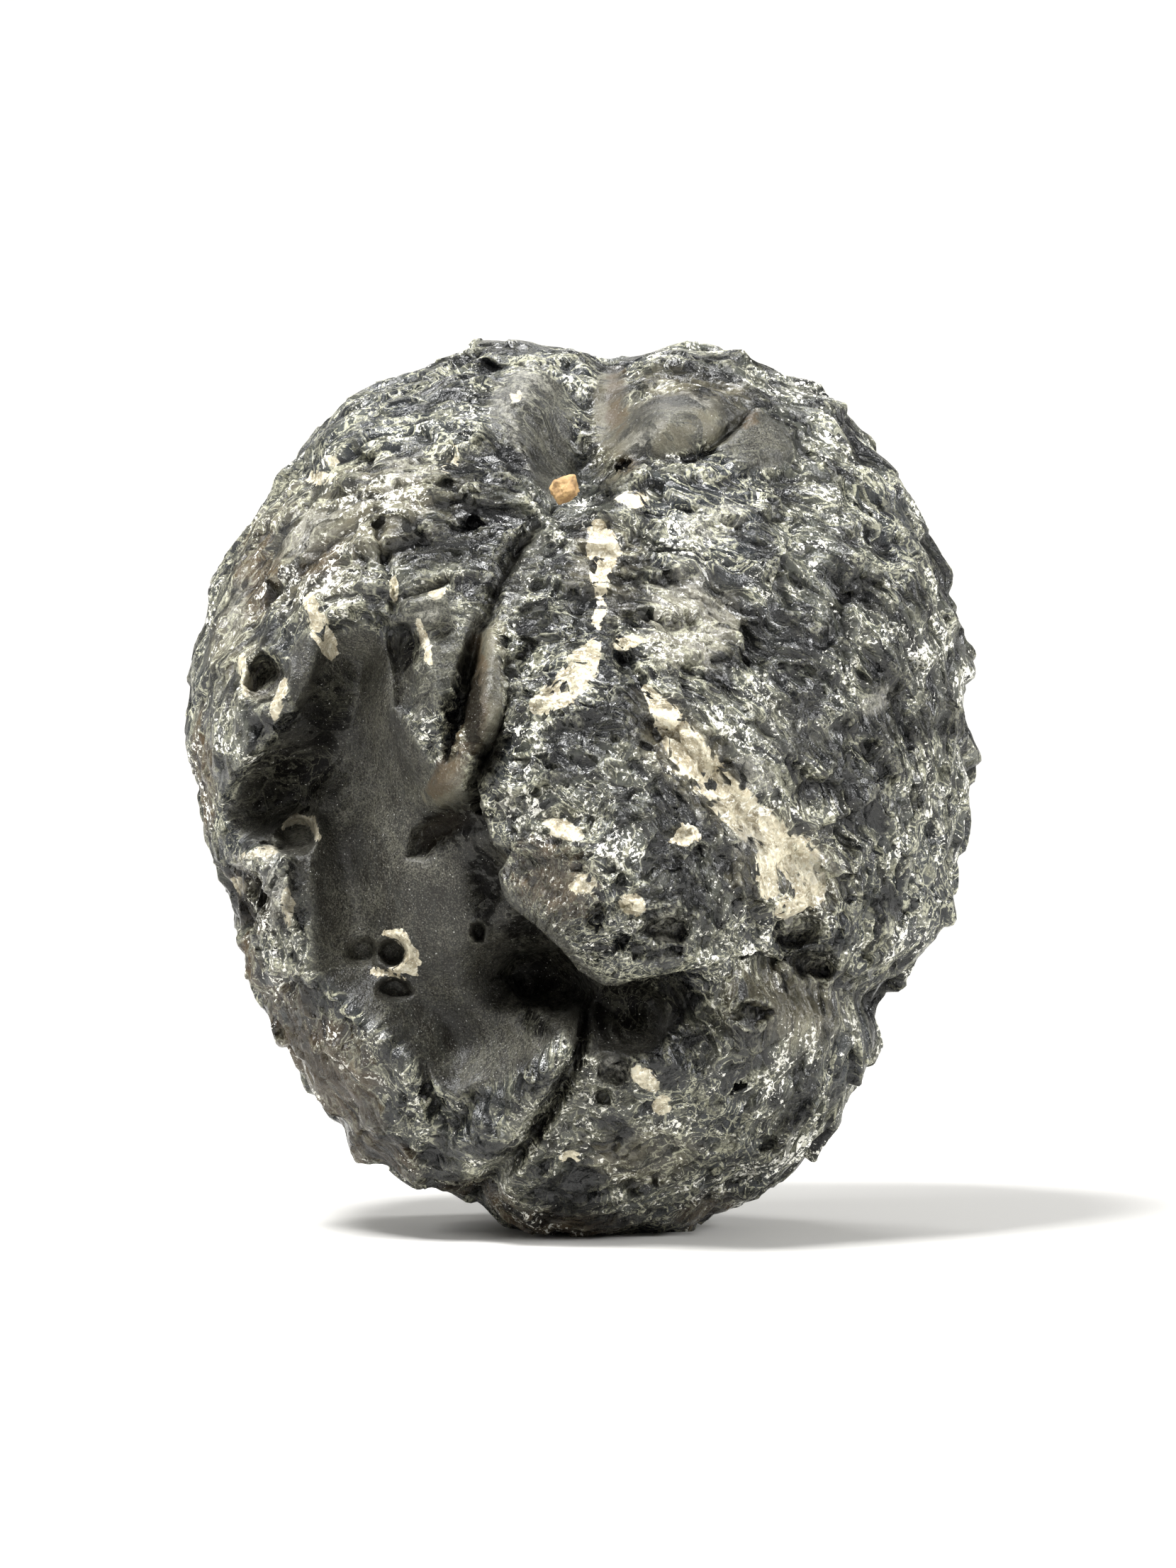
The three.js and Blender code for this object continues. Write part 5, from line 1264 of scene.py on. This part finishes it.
def sandstoneMaterial():
    material, tree, shader = newMaterial("sandstone, broken")
    place = mmCoordinates(tree)
    values = {}
    for name in ("tone", "grain"):
        inputs = noiseInputs(place, *sandstone[name])
        values[name] = addNode(tree, "ShaderNodeTexNoise", inputs).outputs["Fac"]
    addRows(tree, values, [
        ("pale", "RANGE", "tone", *sandstone["palePlaces"]),
        ("dark", "RANGE", "grain", *sandstone["darkPlaces"]),
    ])
    tan, pale, dark = [linearColour(sandstone[name]) for name in ("tan", "pale", "dark")]
    colour = layered(tree, tan, [(values["pale"], pale), (values["dark"], dark)])
    tree.links.new(colour, shader.inputs["Base Color"])
    shader.inputs["Roughness"].default_value = sandstone["roughness"]
    bump = addNode(tree, "ShaderNodeBump", {
        "Height": values["grain"], "Strength": sandstone["bumpStrength"],
        "Distance": sandstone["bumpHeight"] * metresPerMm,
    })
    tree.links.new(bump.outputs[0], shader.inputs["Normal"])
    return material


def standOnFoot(mesh):
    points = readPoints(mesh) / metresPerMm
    points[:, 2] = np.maximum(points[:, 2], 0)
    writePoints(mesh, points)


def buildNodule():
    level = nodule["ballLevel"]
    mesh = ballMesh("noduleBall", level)
    directions = readPoints(mesh) - (0, nodule["frontCrowding"], 0)
    directions /= np.linalg.norm(directions, axis=1)[:, None]
    points, rough = shapeNodule(directions)
    writePoints(mesh, toFrame(points))
    # the small chips are lower towards the edge between front and back
    fade = smoothStep(*nodule["edgeReliefFade"], np.abs(directions[:, 1]))
    writeMask(mesh, "rough", rough * (nodule["edgeRelief"] + (1 - nodule["edgeRelief"]) * fade))
    writeVector(mesh, "swirl", swirlPlace(points))
    report(f"large forms on {len(mesh.vertices)} corners")
    ball = addObject("noduleBall", mesh)
    tree = buildChipTree(obsidianMaterial())
    piece = treeResult(ball, tree, chipping["inputs"], "noduleSkin")
    report("small chips")
    standOnFoot(piece.data)
    # corners are thinned out where the skin is flattest
    bpy.context.view_layer.objects.active = piece
    thinning = piece.modifiers.new("thinning", "DECIMATE")
    thinning.ratio = min(1.0, nodule["faces"] / len(piece.data.polygons))
    bpy.ops.object.modifier_apply(modifier="thinning")
    standOnFoot(piece.data)
    piece.data.shade_smooth()
    report(f"nodule with {len(piece.data.polygons)} faces")
    paintNodule(piece.data)
    report("masks for the finish")
    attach(piece, "root")
    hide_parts("nodule")
    return piece


# An angular grain: a ball cut by planes, then made to fill the space of its solid.
def buildGrain():
    low, high = [np.array(corner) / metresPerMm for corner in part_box("lodged_grain")]
    mesh = ballMesh("grainBall", sandstone["ballLevel"])
    d = readPoints(mesh)
    reach = np.full(len(d), sandstone["ballReach"])
    for normal, distance in sandstone["planes"]:
        facing = d @ np.array(Vector(normal).normalized())
        reach = np.minimum(reach, distance / np.maximum(facing, sandstone["leastFacing"]))
    coarse, fine = sandstone["lumpSizes"]
    reach *= 1 + sandstone["unevenness"] * (lumps(d, coarse, 17) + 0.5 * lumps(d, fine, 19))
    points = d * reach[:, None]
    start, size = points.min(axis=0), np.ptp(points, axis=0)
    writePoints(mesh, low + (points - start) / size * (high - low))
    mesh.materials.append(sandstoneMaterial())
    piece = addObject("grainInCleft", mesh)
    mesh.shade_smooth()
    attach(piece, "root")
    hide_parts("lodged_grain")
    return piece


view = {
    "frameWidth": 1659, "frameHeight": 2212, "pixelsPerMm": 27.5, "distance": 250.0, "sensor": 36.0,
    "nearestMetres": 0.01,
    # where the drawing's origin lies in the frame
    "originX": 818, "originY": 1751,
}
# The floor is in metres, the lights in millimetres and watts.
studio = {
    "floorSize": 3.0, "floorColour": "#cbcac7", "floorRoughness": 0.9,
    "wallDistance": 0.9, "wallCurve": 0.5, "wallHeight": 2.1, "curveSteps": 16,
    "skyStrength": 0.3,
    "lights": {
        "keyAbove": {"place": (-110, -130, 330), "size": 90, "power": 2.6},
        "fillRight": {"place": (260, -110, 150), "size": 90, "power": 0.9},
        "rimLeft": {"place": (-240, -40, 180), "size": 90, "power": 0.35},
        "backdrop": {"place": (0, 500, 900), "aim": (0, 1400, 60), "size": 400, "power": 16},
    },
}


def addCamera():
    data = bpy.data.cameras.new("camera")
    camera = addObject("camera", data)
    data.sensor_width = view["sensor"]
    data.lens = view["pixelsPerMm"] * view["distance"] * view["sensor"] / view["frameHeight"]
    data.clip_start = view["nearestMetres"]
    x = (view["frameWidth"] / 2 - view["originX"]) / view["pixelsPerMm"] - nodule["middle"][0]
    z = (view["originY"] - view["frameHeight"] / 2) / view["pixelsPerMm"] - nodule["footCut"]
    camera.location = Vector((x, -view["distance"], z)) * metresPerMm
    camera.rotation_euler = (math.pi / 2, 0, 0)
    bpy.context.scene.camera = camera


# A floor that curves up into a wall behind the object.
def addFloor():
    half, far, curve = studio["floorSize"] / 2, studio["wallDistance"], studio["wallCurve"]
    profile = [(-half, 0.0), (far, 0.0)]
    for step in range(1, studio["curveSteps"] + 1):
        angle = step / studio["curveSteps"] * math.pi / 2
        profile.append((far + curve * math.sin(angle), curve * (1 - math.cos(angle))))
    profile.append((far + curve, studio["wallHeight"]))
    corners = [(x, y, z) for y, z in profile for x in (-half, half)]
    faces = [(2 * i, 2 * i + 1, 2 * i + 3, 2 * i + 2) for i in range(len(profile) - 1)]
    mesh = bpy.data.meshes.new("floor")
    mesh.from_pydata(corners, [], faces)
    mesh.shade_smooth()
    material, _, shader = newMaterial("paper, matt white")
    shader.inputs["Base Color"].default_value = linearColour(studio["floorColour"])
    shader.inputs["Roughness"].default_value = studio["floorRoughness"]
    mesh.materials.append(material)
    addObject("floor", mesh)


def addLights():
    world = bpy.data.worlds.new("studio")
    bpy.context.scene.world = world
    world.use_nodes = True
    sky = world.node_tree.nodes["Background"]
    sky.inputs["Color"].default_value = (1, 1, 1, 1)
    sky.inputs["Strength"].default_value = studio["skyStrength"]
    for name, light in studio["lights"].items():
        data = bpy.data.lights.new(name, "AREA")
        data.size = light["size"] * metresPerMm
        data.energy = light["power"]
        lamp = addObject(name, data)
        lamp.location = Vector(light["place"]) * metresPerMm
        aim = Vector(light.get("aim", (0, 0, nodule["centreHeight"]))) * metresPerMm
        lamp.rotation_euler = (aim - lamp.location).to_track_quat("-Z", "Y").to_euler()


bpy.context.scene.view_settings.view_transform = "Standard"
addCamera()
addFloor()
addLights()
report("camera, floor and lights")
buildNodule()
buildGrain()
report("all pieces")
